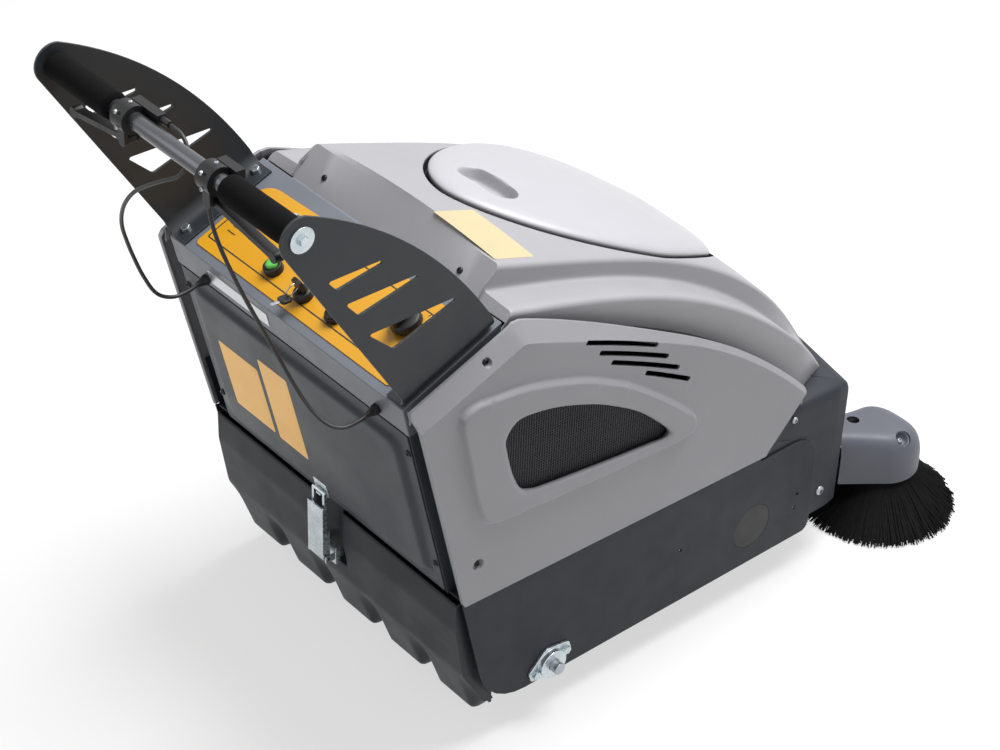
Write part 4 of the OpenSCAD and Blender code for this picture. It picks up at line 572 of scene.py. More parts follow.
def cable(name, start, rows, x):
    end = gland_end(x, 0)
    route = [start] + [start + (end - start) * r[0] + Vector(r[1:]) for r in rows] + [gland_end(x, 12), end]
    curve = bpy.data.curves.new(name + "_made", "CURVE")
    curve.dimensions = "3D"
    curve.bevel_depth, curve.bevel_resolution, curve.resolution_u = 3 * MM, 4, 8
    line = curve.splines.new("BEZIER")
    line.bezier_points.add(len(route) - 1)
    for k, (b, p) in enumerate(zip(line.bezier_points, route)):
        before, after = route[max(k - 1, 0)], route[min(k + 1, len(route) - 1)]
        along = (after - before).normalized()
        b.co = p * MM
        b.handle_left_type = b.handle_right_type = "FREE"
        b.handle_left = (p - along * (p - before).length / 3) * MM
        b.handle_right = (p + along * (after - p).length / 3) * MM
    curve.use_fill_caps = True
    curve.materials.append(FINISH["cable_black"])
    o = bpy.data.objects.new(name + "_made", curve)
    scene.collection.objects.link(o)
    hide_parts(name)
    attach(o, "chassis")
    for a, b in zip(line.bezier_points, list(line.bezier_points)[1:]):
        ps = interpolate_bezier(a.co, a.handle_right, b.handle_left, b.co, 25)


cable("drive_cable", DRIVE_START, DRIVE_ROWS, DRIVE_GLAND_X)
cable("lift_cable", LIFT_START, LIFT_ROWS, LIFT_GLAND_X)

# ---- side covers, drawn as (y, z)
COVER_Z1, NOSE_Y, PEAK_Y = 679.0, 535.0, -88.0
NOSE_FOOT = (453, 284)
SLANT_IN, SLANT_DROP = 26.0, 20.0
FRAME_RISE, WINDOW_ROUND, COVER_WALL = 9.0, 10, 2.4
COVER_SCREWS = ((-141.0, 716.0, 7), (-152.7, 372.1, 10))


def cover_top(y):
    return rim(y) - 4 + 14 * (1 - step_up((y + 80) / 300))


top_line = [(y, cover_top(y)) for y in span(NOSE_Y, PEAK_Y, 44)]
cover_outline = anticlockwise(resample(rounded(
    [(REAR_Y, SEAM_Z, 5), (*NOSE_FOOT, 14), (*top_line[0], 15)] + [(*p, 0) for p in top_line[2:-1]]
    + [(*top_line[-1], 8), (rear_y(COVER_Z1) - 2, COVER_Z1, 8)]), 9))
window = anticlockwise(resample(spline(
    [(-111, 560), (-113, 582), (-99, 601), (-75, 605), (-19, 594), (50, 568), (100, 541), (147, 510), (188, 473),
     (208, 452), (214, 442), (205, 435), (180, 436), (94, 444), (-30, 459), (-61, 466), (-82, 480), (-99, 515)]), 5))
surround = anticlockwise(resample(spline(
    [(-200, 641), (-193, 660), (-172, 668), (-146, 667), (-66, 656), (29, 625), (85, 597), (136, 566), (205, 512),
     (255, 468), (269, 453), (275, 436), (270, 421), (254, 413), (210, 412), (100, 418), (-60, 428), (-120, 434),
     (-148, 446), (-161, 470), (-171, 502), (-187, 575)]), 7))
vents = []
for (ya, za), (yb, zb) in (((34, 678), (178, 614)), ((61, 650), (202, 584)), ((86, 623), (227, 553)),
                           ((157, 574), (252, 521))):
    along = Vector((yb - ya, zb - za))
    long, along = along.length, along.normalized()
    bar = resample(box(0, -4.2, long, 4.2, 3.2, 4), 8)
    vents.append([(ya + u * along.x - v * along.y, za + u * along.y + v * along.x + u * (long - u) / 4500)
                  for u, v in bar])


def nearest(loop, y, z):
    return min(range(len(loop)), key=lambda i: (loop[i][0] - y) ** 2 + (loop[i][1] - z) ** 2)


first = nearest(cover_outline, *NOSE_FOOT)
run = cover_outline[first:] + cover_outline[:first]
crest = run[3:nearest(run, REAR_Y, SEAM_Z) - 1]
slant_edge = [(rear_y(COVER_Z1) - 20, COVER_Z1 - 7), (PEAK_Y, cover_top(PEAK_Y))]
front_edge = [NOSE_FOOT, top_line[0]]
dimples = [circle(r, 20, (y, z)) for y, z, r in COVER_SCREWS]


def chamfer_in(y):
    """Width of the sloping band below the cover's top edge, which narrows to the front."""
    return 9 + 17 * (1 - step_up((y - PEAK_Y) / 400))


def cover_x(y, z):
    """X of the cover's face: flat, with sloping edges, a raised frame and a rounded window edge."""
    wide = chamfer_in(y)
    x = -max(SLANT_DROP * max(0.0, 1 - reach((y, z), slant_edge, closed=False) / SLANT_IN),
             5 * max(0.0, 1 - reach((y, z), front_edge, closed=False) / 6),
             wide * 0.85 * max(0.0, 1 - reach((y, z), top_line, closed=False) / wide))
    if inside((y, z), surround):
        x += FRAME_RISE * step_up(reach((y, z), surround) / FRAME_RISE)
    w = reach((y, z), window)
    if w < WINDOW_ROUND:
        x -= 6.0 * (1 - sqrt(max(0, 1 - (1 - w / WINDOW_ROUND) ** 2)))
    return COVER_X + x


cover_extra = (offsets(cover_outline, (0.35, 2.5, 5, 7.5, 10, 14))
               + offsets(surround, (-2, 0, 1.5, 3, 4.5, 6, 7.5, 9, 11))
               + offsets(window, (-0.4, -1.5, -3.2, -5, -7, -9, -12)) + [q for d in dimples for q in offsets(d, (-3,))])
for line in (top_line, slant_edge):
    for a, b in zip(line, line[1:]):
        a, b = Vector(a), Vector(b)
        down = Vector((-(b - a).y, (b - a).x)).normalized()
        down = -down if down.y > 0 else down
        for i in range(max(1, round((b - a).length / 8))):
            at = a.lerp(b, i * 8 / (b - a).length)
            cover_extra += [tuple(at + down * chamfer_in(at.x) * k) for k in (0.5, 0.94, 1.0, 1.06)]
cover = sheet_mesh(outward(0), cover_outline, [window] + vents + dimples, cover_extra, 13, cover_x)
crest_low = cover_top(NOSE_Y) - 8


def lip(p):
    """The cover's returned edge at an outline point: a lip and a flange above, a short return elsewhere."""
    x = cover_x(*p)
    if p[1] > crest_low and p[0] > rear_y(p[1]) + 3:
        return [(x, *p), (x - 5, p[0], p[1] - 0.5), (x - 6, p[0], p[1] - 24)]
    return [(x, *p), (x - 5, *p), (x - 8, *p)]


cover.loft([[lip(p)[k] for p in crest] for k in range(3)], closed=False)
for loop in [window] + vents:
    cover.loft([[(cover_x(*p) - d, *p) for p in loop] for d in (0, 5)])
screw_seats = []
for (y, z, r), loop in zip(COVER_SCREWS, dimples):
    deep = cover_x(y, z) - 4
    screw_seats.append((deep, y, z))
    cover.loft([[(cover_x(*p), *p) for p in loop], [(deep, *p) for p in circle(r * 0.8, 20, (y, z))]], end=True)
remade("right_side_cover", cover, "cover_grey", wall=COVER_WALL, angle=30)
remade("left_side_cover", cover.mirrored(), "cover_grey", wall=COVER_WALL, angle=30)
returns = Solid()
for corners, top in ((((270, 18), (306, 18), (306, 21), (270, 21)), 650),
                     (((266, 1), (270.5, 1), (270.5, 21), (266, 21)), STRIP_Z)):
    returns.loft([[(x, rear_y(z) + d, z) for x, d in corners] for z in (304, top)], start=True, end=True)
piece("panel_returns", returns.doubled(), "panel_paint")

# Woven wire behind the windows
WIRE_PITCH = 4.6
wires = Solid()
lap = offsets(window, (-9,))
for axis, half in ((0, 0.65), (1, 0.4)):
    low, high = min(p[axis] for p in lap), max(p[axis] for p in lap)
    for i in range(int((high - low) / WIRE_PITCH)):
        c = low + (i + 0.5) * WIRE_PITCH
        hits = [a[1 - axis] + (c - a[axis]) / (b[axis] - a[axis]) * (b[1 - axis] - a[1 - axis])
                for a, b in around(lap) if (a[axis] - c) * (b[axis] - c) < 0]
        if len(hits) == 2:
            ends = [(c - half, min(hits)), (c + half, max(hits))]
            if axis:
                ends = [e[::-1] for e in ends]
            wires.block(outward(COVER_X - 6 - 0.5 * axis), (*ends[0], 0.0), (*ends[1], 1.2))
piece("window_mesh", wires.doubled(), "mesh_black", "chassis", ["window_grilles"])
# A black sheet behind each window's wire: painted shade for the dark inside of the machine
piece("window_painted_shade", Solid().prism(outward(COVER_X - 9.5), lap, 0, 0.6).doubled(), "black_plastic")

# ---- hood and lid
CROWN = 13.0
LID_MID, LID_A, LID_B, LID_POWER = 291.0, 198.0, 258.0, 1.72
HINGE_Y = 575.615
HINGE_Z = plateau(HINGE_Y) + 14
RECESS_X, RECESS_Y, RECESS_R = 32, 115.0, 24
MOAT = ((-10, -2.6), (-8.8, -2.2), (-8, -3.6), (-7.6, -7), (-7.6, -16), (-6.5, -18), (4, -18.5), (14, -18.5))


def crown(x):
    return CROWN * max(0.0, 1 - (x / 205) ** 2)


def hood_top(x, y):
    return plateau(y) + crown(x)


def half_section():
    """(x, line, rise): line 0 is the plateau's edge, 1 the tier's, 2 the lower rim."""
    bend = [k * pi / 12 for k in range(1, 7)]
    rows = [(x, 0, crown(x)) for x in (0, 30, 60, 90, 115, 140, 160, 178, 192, 200)]
    rows += [(203 + 9 * sin(a), 0, -9 + 9 * cos(a)) for a in bend] + [(213.4, 1, 9)]
    rows += [(220 - 6 * cos(a), 1, 6 - 6 * sin(a)) for a in bend] + [(236, 1, -0.4), (256, 1, -1.0)]
    rows += [(267 + 9 * sin(a), 1, -10 + 9 * cos(a)) for a in bend]
    return rows + [(SHELF_X, 2, 0), (SHELF_X, 2, -12)]


SLOPE = (HOOD_Z - FOOT_Z) / (HOOD_REAR - FOOT_Y)
section = half_section()
grid = []
for s in [0, 0.004, 0.012] + span(0.03, 1, 54):
    row = []
    for x, line, up in section:
        start_z = (HOOD_Z, TIER_Z, RIM_Z)[line] + min(up, 0)
        y0 = FOOT_Y + (start_z - FOOT_Z) / SLOPE
        y1 = (HOOD_FRONT, TIER_FRONT, TIER_FRONT)[line]
        y = y0 + (y1 - y0) * s
        base = (plateau, tier, rim)[line](y)
        lift = up * min(1.0, s / 0.012) if up > 0 and line == 0 else up
        if line == 1:
            lift = max(up, rim(y) - base + 1) if up < 0 else min(up, max(0.5, plateau(y) - base - 2))
        narrow = 1 - 0.1 * step_up((s - 0.78) / 0.22) if line == 0 else 1
        ledge = SHELF_X - 0.4 * max(0.0, y - 555)
        if x > PLATEAU_X:
            x = PLATEAU_X + (x - PLATEAU_X) * (ledge - PLATEAU_X) / (SHELF_X - PLATEAU_X)
        row.append((x * narrow, y, base + lift))
    grid.append([(-x, y, z) for x, y, z in reversed(row[1:])] + row)
hood = Solid().loft(grid, closed=False)
for row, foot in ((grid[0], [(p[0], FOOT_Y, FOOT_Z) for p in grid[0]]),
                  (grid[-1], [(p[0], p[1], COWL_TOP) for p in grid[-1]])):
    for a, b, c, d in zip(row, row[1:], foot, foot[1:]):
        hood.face([a, b, d, c])
hood_piece = remade("hood", hood, "hood_grey", wall=3, angle=40)


def lid_loop(inset, n=150):
    def bent(r, t):
        return r * copysign(abs(t) ** (2 / LID_POWER), t)

    return [(bent(LID_A - inset, cos(d)), LID_MID + bent(LID_B - inset, sin(d)))
            for d in [2 * pi * (k + 0.5) / n for k in range(n)]]


cut(hood_piece, Solid().prism(Matrix(), lid_loop(-8), 320, 900))
# The lid's seat takes the near-black gap finish: painted shade in the moat round the lid
moat = Solid().loft([[(x, y, hood_top(x, y) + z) for x, y in lid_loop(inset)] for inset, z in MOAT])
piece("lid_seat", moat, "lid_seal", wall=2, angle=50)
lugs = Solid()
for x in (-43, 31):
    lugs.lathe(along_x(x, HINGE_Y, HINGE_Z), ((5, 0), (6, 1), (6, 11), (5, 12)), 28)
    lugs.prism(outward(x), [(HINGE_Y - 6, HINGE_Z), (HINGE_Y - 8, plateau(HINGE_Y - 8) - 2),
                            (HINGE_Y + 9, plateau(HINGE_Y + 9) - 2), (HINGE_Y + 6, HINGE_Z)], 0.6, 11.4)
lugs.lathe(along_x(-43, HINGE_Y, HINGE_Z), ((2.4, 0), (3, 0.6), (3, 85.4), (2.4, 86)), 20)
piece("lid_hinge_lugs", lugs, "hood_grey", bevel=0.6)

stadium = anticlockwise(resample([polar(RECESS_R, a, (x, RECESS_Y))
                                  for x, a0 in ((RECESS_X, -pi / 2), (-RECESS_X, pi / 2))
                                  for a in span(a0, a0 + pi, 12)], 5))
lid_edge = lid_loop(0)


def lid_height(x, y):
    d = reach((x, y), lid_edge)
    rise_in = 1 - min(d, 50) / 50
    z = hood_top(x, y) + 1 + 14 * sqrt(1 - rise_in ** 2.4) + 8 * step_up((d - 40) / 110)
    r = reach((x, y), stadium)
    r = r if inside((x, y), stadium) else -r
    return z - 21 * step_up((r + 2) / 9) - 5 * step_up((r - 4) / 16)


lid = sheet_mesh(Matrix(), lid_edge, [], offsets(lid_edge, (0.3, 1.0, 2.0, 3.4, 5, 7, 10, 18, 30))
                 + offsets(stadium, (-5, -2.5, -1, 0.5, 2, 3.5, 5, 7, 10, 14, 18)), 13, lid_height)
lid.loft([[(*p, lid_height(*p)) for p in lid_edge], [(*p, hood_top(*p) - 5) for p in lid_edge]])
remade("filter_lid", lid, "lid_grey", wall=4, angle=50)
knuckle = Solid().lathe(along_x(-30, HINGE_Y, HINGE_Z), ((5, 0), (6, 1), (6, 59), (5, 60)), 28)
knuckle.prism(outward(-29), [(548, plateau(548) + 4), (HINGE_Y, HINGE_Z - 4), (HINGE_Y, HINGE_Z + 5.5),
                             (563, plateau(563) + 20), (548, plateau(548) + 19)], 0, 58)
piece("lid_knuckle", knuckle, "lid_grey", "filter_lid", bevel=0.8)

# ---- front cowl, as rings (inset, z)
COWL_ROWS = ((0.8, 95), (0, 97), (0, 130), (0, 180), (0, 230), (0, 280), (0, 312), (0.7, 319), (2.4, 323.5), (6, 326.5),
             (14, 328.3), (36, 329.5), (64, 330))
COWL_LIFT = 17


def cowl_loop(t, z):
    ring = rounded([(PLATE_IN - t, 440.0, 0), (PLATE_IN - t, 620 - t / 2, 40), (303 - t, 648 - t, 12),
                    (150 - t / 2, 690 - t, 60), (0.0, 700 - t, 0)], 10)
    lift = COWL_LIFT * max(0.0, (z - 300) / 30)
    lifted = [(x, y, z + lift * (1 - 0.5 * step_up((y - 580) / 80)) * step_up((x - 190) / 90)) for x, y in ring]
    return lifted + [(-x, y, h) for x, y, h in reversed(lifted[:-1])]


cowl = remade("front_cowl", Solid().loft([cowl_loop(*row) for row in COWL_ROWS], closed=False), "cowl_plastic",
              wall=3.5, angle=40)
cut(cowl, Solid().block(Matrix(), (-320, 300, 60), (320, 548, 236)))
cut(cowl, Solid().prism(outward(-320), [(300, 270), (455, 282), (540, rim(537) - 6), (540, 400), (300, 400)], 0, 640))
cut(cowl, Solid().block(Matrix(), (194, 640, 138), (286, 720, 214)))
# Near-black strips in the gaps between the hood's rim and the covers: painted shade for the shadow in those gaps
gap_shade_rows = []
for y in span(-76, 532, 40):
    x, z = COVER_X - chamfer_in(y) - 4, cover_top(y) - 14
    gap_shade_rows.append([(274.5, y, rim(y) - 10), (274.5, y, rim(y) - 12), (x, y, z - 2), (x, y, z)])
piece("cover_gap_painted_shade", Solid().loft(gap_shade_rows, start=True, end=True).doubled(), "lid_seal", angle=40)

# Painted shadow: black strips along the front edge of each side plate, standing in for the shade of the gap there
gap_shade_strips = Solid()
plate = NODES["right_side_plate"].data
for f in plate.polygons:
    pts = [plate.vertices[i].co / MM for i in f.vertices]
    mid = sum(pts, Vector()) / len(pts)
    ends = sorted({(round(p.y, 3), round(p.z, 3)) for p in pts})
    upper = abs(f.normal.x) <= 0.1 and f.normal.y + f.normal.z > 0
    if upper and mid.x > PLATE_IN and mid.y > 540 and mid.z > 60 and len(ends) == 2:
        out = Vector((0, f.normal.y, f.normal.z)) * (1.8 + 5 * max(0.0, f.normal.y))
        thick = Vector((0.5, 0, 0))
        gap_shade_strips.loft([[a, a + out, a + out + thick, a + thick] for a in [Vector((PLATE_IN - 0.2, *e)) for e in ends]],
                  start=True, end=True)
piece("plate_gap_painted_shade", gap_shade_strips.doubled(), "black_plastic")

# ---- console, rear panel and labels
FASCIA_X, FASCIA_LOW, FASCIA_HIGH, FASCIA_UP = 230, 15, 145, 1.5
NEAR_R, FAR_R = 8, 34
PANEL_X, PANEL_UP = 271.0, 8.0
GAUGE, BUTTON, KEY, CHARGE, KNOB = (on_console(*at, FASCIA_UP) for at in (
    (-124, 123), (-80, 53), (-2, 48), (68, 50), (168, 104)))
soften("control_console", "console_paint", 3.0, 3)
fascia = rounded([(-FASCIA_X, FASCIA_LOW, NEAR_R), (FASCIA_X, FASCIA_LOW, NEAR_R), (FASCIA_X, 157, FAR_R),
                  (0, 163, 600), (-FASCIA_X, 157, FAR_R)])
remade("control_fascia", Solid().prism(on_console(0, 0), fascia, 0, FASCIA_UP), "fascia_yellow", bevel=0.4)
border = []
for k in (7, 9.2):
    low, high, x = FASCIA_LOW + 11.2 + k, FASCIA_HIGH - k, FASCIA_X - k
    near, far = NEAR_R - k / 2, FAR_R - k
    border.append(rounded([(-x, low, near), (x, low, near), (x, high, far), (-x, high, far)]))
lines = Solid().loft([[on_console(0, 0) @ Vector((*p, z)) for p in border[i]]
                      for i, z in ((0, FASCIA_UP), (0, 1.68), (1, 1.68), (1, FASCIA_UP))])
for k in range(11):
    lines.block(spun(KNOB, -45 + 27 * k), (30, -0.7, 0), (36, 0.7, 0.16))
for run in (60, 96):
    lines.block(on_console(-196, run), (-9, -1, FASCIA_UP), (9, 1, 1.66))
lines.prism(on_console(-196, 78), box(-12, -8, 12, 8, 7), FASCIA_UP, 1.62)
piece("fascia_lines", lines, "print_ink")

PANEL_ROWS = ((0, 4, -3), (0, 4, -0.6), (0.6, 4, 0), (16, 14, 0), (19, 16, 0.6), (22, 18, 2.4), (25, 20, 5.0),
              (28, 21, 7.0), (31, 22, 7.8), (36, 24, PANEL_UP))
panel = Solid().loft([[on_rear(0, 0) @ Vector((*p, z)) for p in
                       box(-PANEL_X + i, 2 + i, PANEL_X - i, PANEL_RUN - 3 - i, r, 8)] for i, r, z in PANEL_ROWS],
                     start=True, end=True)
remade("rear_panel", panel, "panel_paint", angle=35)
labels = Solid()
for corners in ((-206, 82, -106, 217), (-95, 80, -23, 248)):
    labels.prism(on_rear(0, 0), box(*corners, 4, 4), PANEL_UP, PANEL_UP + 0.25)
piece("rear_labels", labels, "label_orange")
rim_line = anticlockwise(resample(box(60, -38, 196, 36, 3, 3), 8))
label = sheet_mesh(Matrix(), rim_line, [], [], 12, lambda x, y: hood_top(x, y) + 0.35)
label.loft([[(x, y, hood_top(x, y) + up) for x, y in rim_line] for up in (-0.2, 0.35)])
piece("hood_label", label, "label_yellow")

# ---- controls on the console
gauge = Solid().lathe(GAUGE, ((19, 0), (19, 6.5), (18.4, 8.4), (17.2, 9), (16.4, 8.4), (16, 6.6), (16, 5)), 44,
                      end=False)
remade("hour_gauge", gauge, "chrome_rim", angle=40)
face = Solid().lathe(GAUGE, ((16.1, 4.6), (16.1, 5.4), (0.5, 5.4)), 44)
piece("gauge_face", face, "dial_face")
marks = Solid()
for k in range(9):
    marks.block(spun(GAUGE, -30 + 30 * k), (11.2, -0.5, 5.4), (14.4, 0.5, 5.6))
marks.block(spun(GAUGE, 130), (-2, -0.6, 5.6), (11, 0.6, 5.9))
marks.lathe(GAUGE, ((2.2, 5.4), (2.2, 6.1), (1.4, 6.4)), 18)
piece("gauge_marks", marks, "print_ink")

switch = Solid().lathe(KEY, ((15, 0), (15, 8), (14.2, 10.5), (12, 12.4), (9.5, 13), (6.2, 13), (5.1, 12),
                             (5.1, 5.2)), 40)
remade("key_switch", switch, "black_plastic", angle=40)
socket = Solid()
socket.lathe(CHARGE, ((14, 0), (14, 8), (13, 10), (12.2, 10), (12, 12.3), (10.8, 13.3), (3, 13.3)), 40)
for k in range(12):
    socket.block(spun(CHARGE, 30 * k), (13.2, -1.2, 1), (14.7, 1.2, 8))
socket.lathe(BUTTON, ((15, 0), (15, 9), (14, 11.4), (12.6, 12), (10.4, 12), (9.4, 11.2), (9.4, 3)), 40)
socket.lathe(KNOB, ((16, 0), (16, 3), (15, 4), (4.4, 4), (4.4, 1)), 36)
remade("charge_socket", socket, "black_plastic", angle=40)
button = Solid().lathe(BUTTON, ((8.8, 7), (8.8, 13), (8.4, 15.6), (7.2, 17), (5, 17.8), (2, 18.1)), 36)
remade("start_button", button, "button_green", angle=40)
knob = Solid().loft(notched(KNOB, ((24, 4.3, 0.7), (24.2, 6, 0.7), (23.6, 13, 0.7), (22, 16, 0), (19, 17.4, 0),
                                   (2, 17.6, 0)), 60, 3), start=True, end=True)
knob.prism(KNOB, rounded([(-8, -22, 5), (8, -22, 5), (6, 23, 5), (-6, 23, 5)], 5), 15, 35)
knob.lathe(KNOB, ((4, 2), (4, 6)), 18)
remade("speed_knob", knob, "black_plastic", bevel=1.0, angle=36)
piece("knob_pointer", Solid().block(KNOB, (-0.8, 6, 35), (0.8, 21, 35.25)), "dial_face", "speed_knob")

key = Solid().lathe(KEY, ((4.4, 6), (4.8, 6.6), (4.8, 14)), 20)
bow = rounded([(-10.5, 13.5, 2.5), (10.5, 13.5, 2.5), (10.5, 36.5, 7.5), (-10.5, 36.5, 7.5)])
key.prism(KEY @ Matrix.Rotation(pi / 2, 4, "X"), bow, -3.2, 3.2)
remade("ignition_key", key, "black_plastic", bevel=1.2, steps=3)
ring = [KEY @ Vector((2 * sin(a), -11 + 12 * cos(a), 26 + 9 * sin(a))) for a in span(0, 2 * pi, 28)]
piece("key_ring", Solid().tube(ring, 1.0, 8), "steel", "ignition_key")
SPARE = KEY @ Matrix.Translation((0, -27, 20)) @ Matrix.Rotation(radians(-24), 4, "X")
spare = Solid().prism(SPARE, box(-9, -11, 9, 8, 6), -2.6, 2.6)
piece("spare_key_head", spare, "black_plastic", "ignition_key", bevel=1.2, steps=3)
blade = [(-3, -10), (3, -10), (3, -19), (2.2, -20), (3, -21.5), (2.2, -23), (1, -25), (-3, -25)]
piece("spare_key_blade", Solid().prism(SPARE, blade, -0.9, 0.9), "steel", "ignition_key", bevel=0.3)

soften("data_plate", "bare_plate", 0.3)
soften("hood_catch", "zinc", 0.8)
taper = [(7.6, 7)]
for k in range(5):
    z, r = 8 + k * 2.6, 7.4 - k * 0.75
    taper += [(r, z), (r, z + 1.4), (r - 0.9, z + 1.7), (r - 0.9, z + 2.3)]
glands = Solid()
for x in (LIFT_GLAND_X, DRIVE_GLAND_X):
    glands.prism(on_rear(x, GLAND_UP), circle(8.6, 6), 0, 7)
    glands.lathe(on_rear(x, GLAND_UP), taper + [(3.2, GLAND_LONG)], 24)
remade("cable_glands", glands, "black_plastic", bevel=0.4)

# ---- screws
CLAMP_X = 98
screws, bright = Solid(), Solid()
for s in (-1, 1):
    for up in (60, 290):
        socket_screw(screws, on_rear(s * 265, up), 5.5, 3.2)
    for x, y, z in screw_seats:
        socket_screw(screws, facing((s * x, y, z), (s, 0, 0)), 5, 3)
    socket_screw(screws, facing((s * 157, FOOT_Y + 42 * 0.4, FOOT_Z + 45 * 0.4), (0, -45, 42)), 5, 3)
    for y, z, r, h in ((598, 138, 8.5, 5), (512, 322, 6, 4)):
        socket_screw(bright, facing((s * PLATE_IN, y, z), (s, 0, 0)), r, h)
    for dz in (14, -10):
        socket_screw(bright, facing((s * CLAMP_X, HANDLE_Y - 19.38, HANDLE_Z + dz), (0, -1, 0.2)), 3.2, 3)
    socket_screw(bright, facing((s * CLAMP_X, HANDLE_Y + 4, HANDLE_Z + 20.4), (0, 0.1, 1)), 3.2, 2.6)
remade("cover_screws", screws, "screw_black", angle=35)
piece("bright_screws", bright, "steel", angle=35)

# ---- handle plates, tube, grips and levers; plates are drawn as (y, z)
BEND, TIP_R, GRIP_LONG, GRIP_END = 24.0, 32, 150, 7
con_dir, con_up = Vector((cos(TILT), sin(TILT))), Vector((-sin(TILT), cos(TILT)))
con_near = Vector((CON_Y, CON_Z))
foot_rear = con_near + con_dir * 8
foot_front = Vector((FAR_Y, FAR_Z)) - con_dir * 8
tip = Vector((HANDLE_Y, HANDLE_Z))
back_dir = (foot_rear - tip).normalized()
front_a = tip + TIP_R * Vector((0.25, 1)).normalized()
front_n = Vector((front_a.y - foot_front.y, foot_front.x - front_a.x)).normalized()
front_c = front_a + (foot_front - front_a) * 0.46 + 72 * front_n
a0, a1 = atan2(-back_dir.x, back_dir.y), atan2(front_a.y - tip.y, front_a.x - tip.x)
if a0 < a1:
    a0 += 2 * pi
full = [foot_rear] + [Vector(polar(TIP_R, a, tip)) for a in span(a0, a1, 20)]
full += [(1 - t) ** 2 * front_a + 2 * t * (1 - t) * front_c + t * t * foot_front for t in span(0, 1, 24)[1:]]


def height_over(p):
    """How far a point of the plate is above its bend."""
    return (p - con_near).dot(con_up) - BEND - 2


above = []
for p, q in zip(full, full[1:]):
    hp, hq = height_over(p), height_over(q)
    if hp >= 0:
        above.append(p)
    if hp * hq < 0:
        above.append(p.lerp(q, hp / (hp - hq)))
outline = anticlockwise(resample([tuple(p) for p in above], 9))
slots = [resample(rounded([(y0, high, 2.5), (toe, low, 7), (y1, high - 5, 1.6), (y1, high, 1.6)]), 8)
         for y0, toe, y1, low, high in ((-391, -377, -305, 917, 934), (-363, -342, -247, 864, 889),
                                        (-327, -285, -182, 788, 827))]
handle = sheet_mesh(outward(HANDLE_X - 2), outline, slots + [circle(6, 20, tip)], [], 30, lambda u, v: 0.0)
bottom = sorted((Vector(p) for p in outline if abs(height_over(Vector(p))) < 0.05), key=lambda p: p.dot(con_dir))
bend = [(0.0, 0.0)] + [(-BEND + BEND * cos(a), -BEND * sin(a)) for a in span(pi / 20, pi / 2, 9)] + [(-42, -BEND)]
handle.loft([[(HANDLE_X - 2 + dx, *(p + con_up * up)) for p in bottom] for dx, up in bend], closed=False)
remade("right_handle_plate", handle, "handle_black", wall=4, inward=0, bevel=0.7, angle=38)
remade("left_handle_plate", handle.mirrored(), "handle_black", wall=4, inward=0, bevel=0.7, angle=38)
tube = Solid().lathe(along_x(-278.8, HANDLE_Y, HANDLE_Z), ((12.1, 0), (12.5, 0.5), (12.5, 557.1), (12.1, 557.6)), 48)
remade("handlebar_tube", tube, "tube_paint", angle=40)
for name, s in (("right_grip", 1), ("left_grip", -1)):
    rows = [(12.7, 0)]
    for t in span(0, 1, 48):
        swell = 0.7 * sin(pi * t) + 0.25 * sin(9 * t + s)
        end = min(t, 1 - t) * GRIP_LONG
        nip = GRIP_END * (1 - sqrt(max(0, 1 - (1 - end / GRIP_END) ** 2))) if end < GRIP_END else 0
        rows.append((20.3 + swell - nip, GRIP_LONG * t))
    grip = Solid().lathe(Matrix.Translation((s * 128, HANDLE_Y, HANDLE_Z)) @ Matrix.Rotation(s * pi / 2, 4, "Y"),
                         rows + [(12.7, GRIP_LONG)], 48, start=False, end=False)
    remade(name, grip, "foam", angle=60)
for name, width in (("right_lever_clamp", 1.4), ("left_lever_clamp", 1.4), ("drive_lever", 2.4), ("lift_lever", 2.4)):
    soften(name, "black_plastic", width, 3)
soften("hex_bolts", "zinc", 0.5)

# ---- hopper: lobes and troughs along its lower edge, with a pocket behind the latch
HOPPER_ROWS, HOPPER_X, LOBE_PITCH, INNER_X, HOPPER_Y, HOPPER_Z = 46, 300, 122, 185, -108, 297


def hopper_side(floor_z):
    """Rear wall as (y, z), evenly spaced from its top edge to its floor."""
    pts = rounded([(-104.0, floor_z, 0), (-179.0, HOPPER_Z, 0), (-179, 246, 50), (-163, 151, 40), (-126, floor_z, 16),
                   (HOPPER_Y, floor_z, 0)], 8)[1:]
    runs = [0.0]
    for a, b in zip(pts, pts[1:]):
        runs.append(runs[-1] + dist(a, b))
    out = []
    for at in span(0, runs[-1], HOPPER_ROWS - 1):
        i = max(j for j in range(len(pts) - 1) if runs[j] <= at + 1e-6)
        t = (at - runs[i]) / max(1e-6, runs[i + 1] - runs[i])
        out.append((pts[i][0] + (pts[i + 1][0] - pts[i][0]) * t, pts[i][1] + (pts[i + 1][1] - pts[i][1]) * t))
    return out


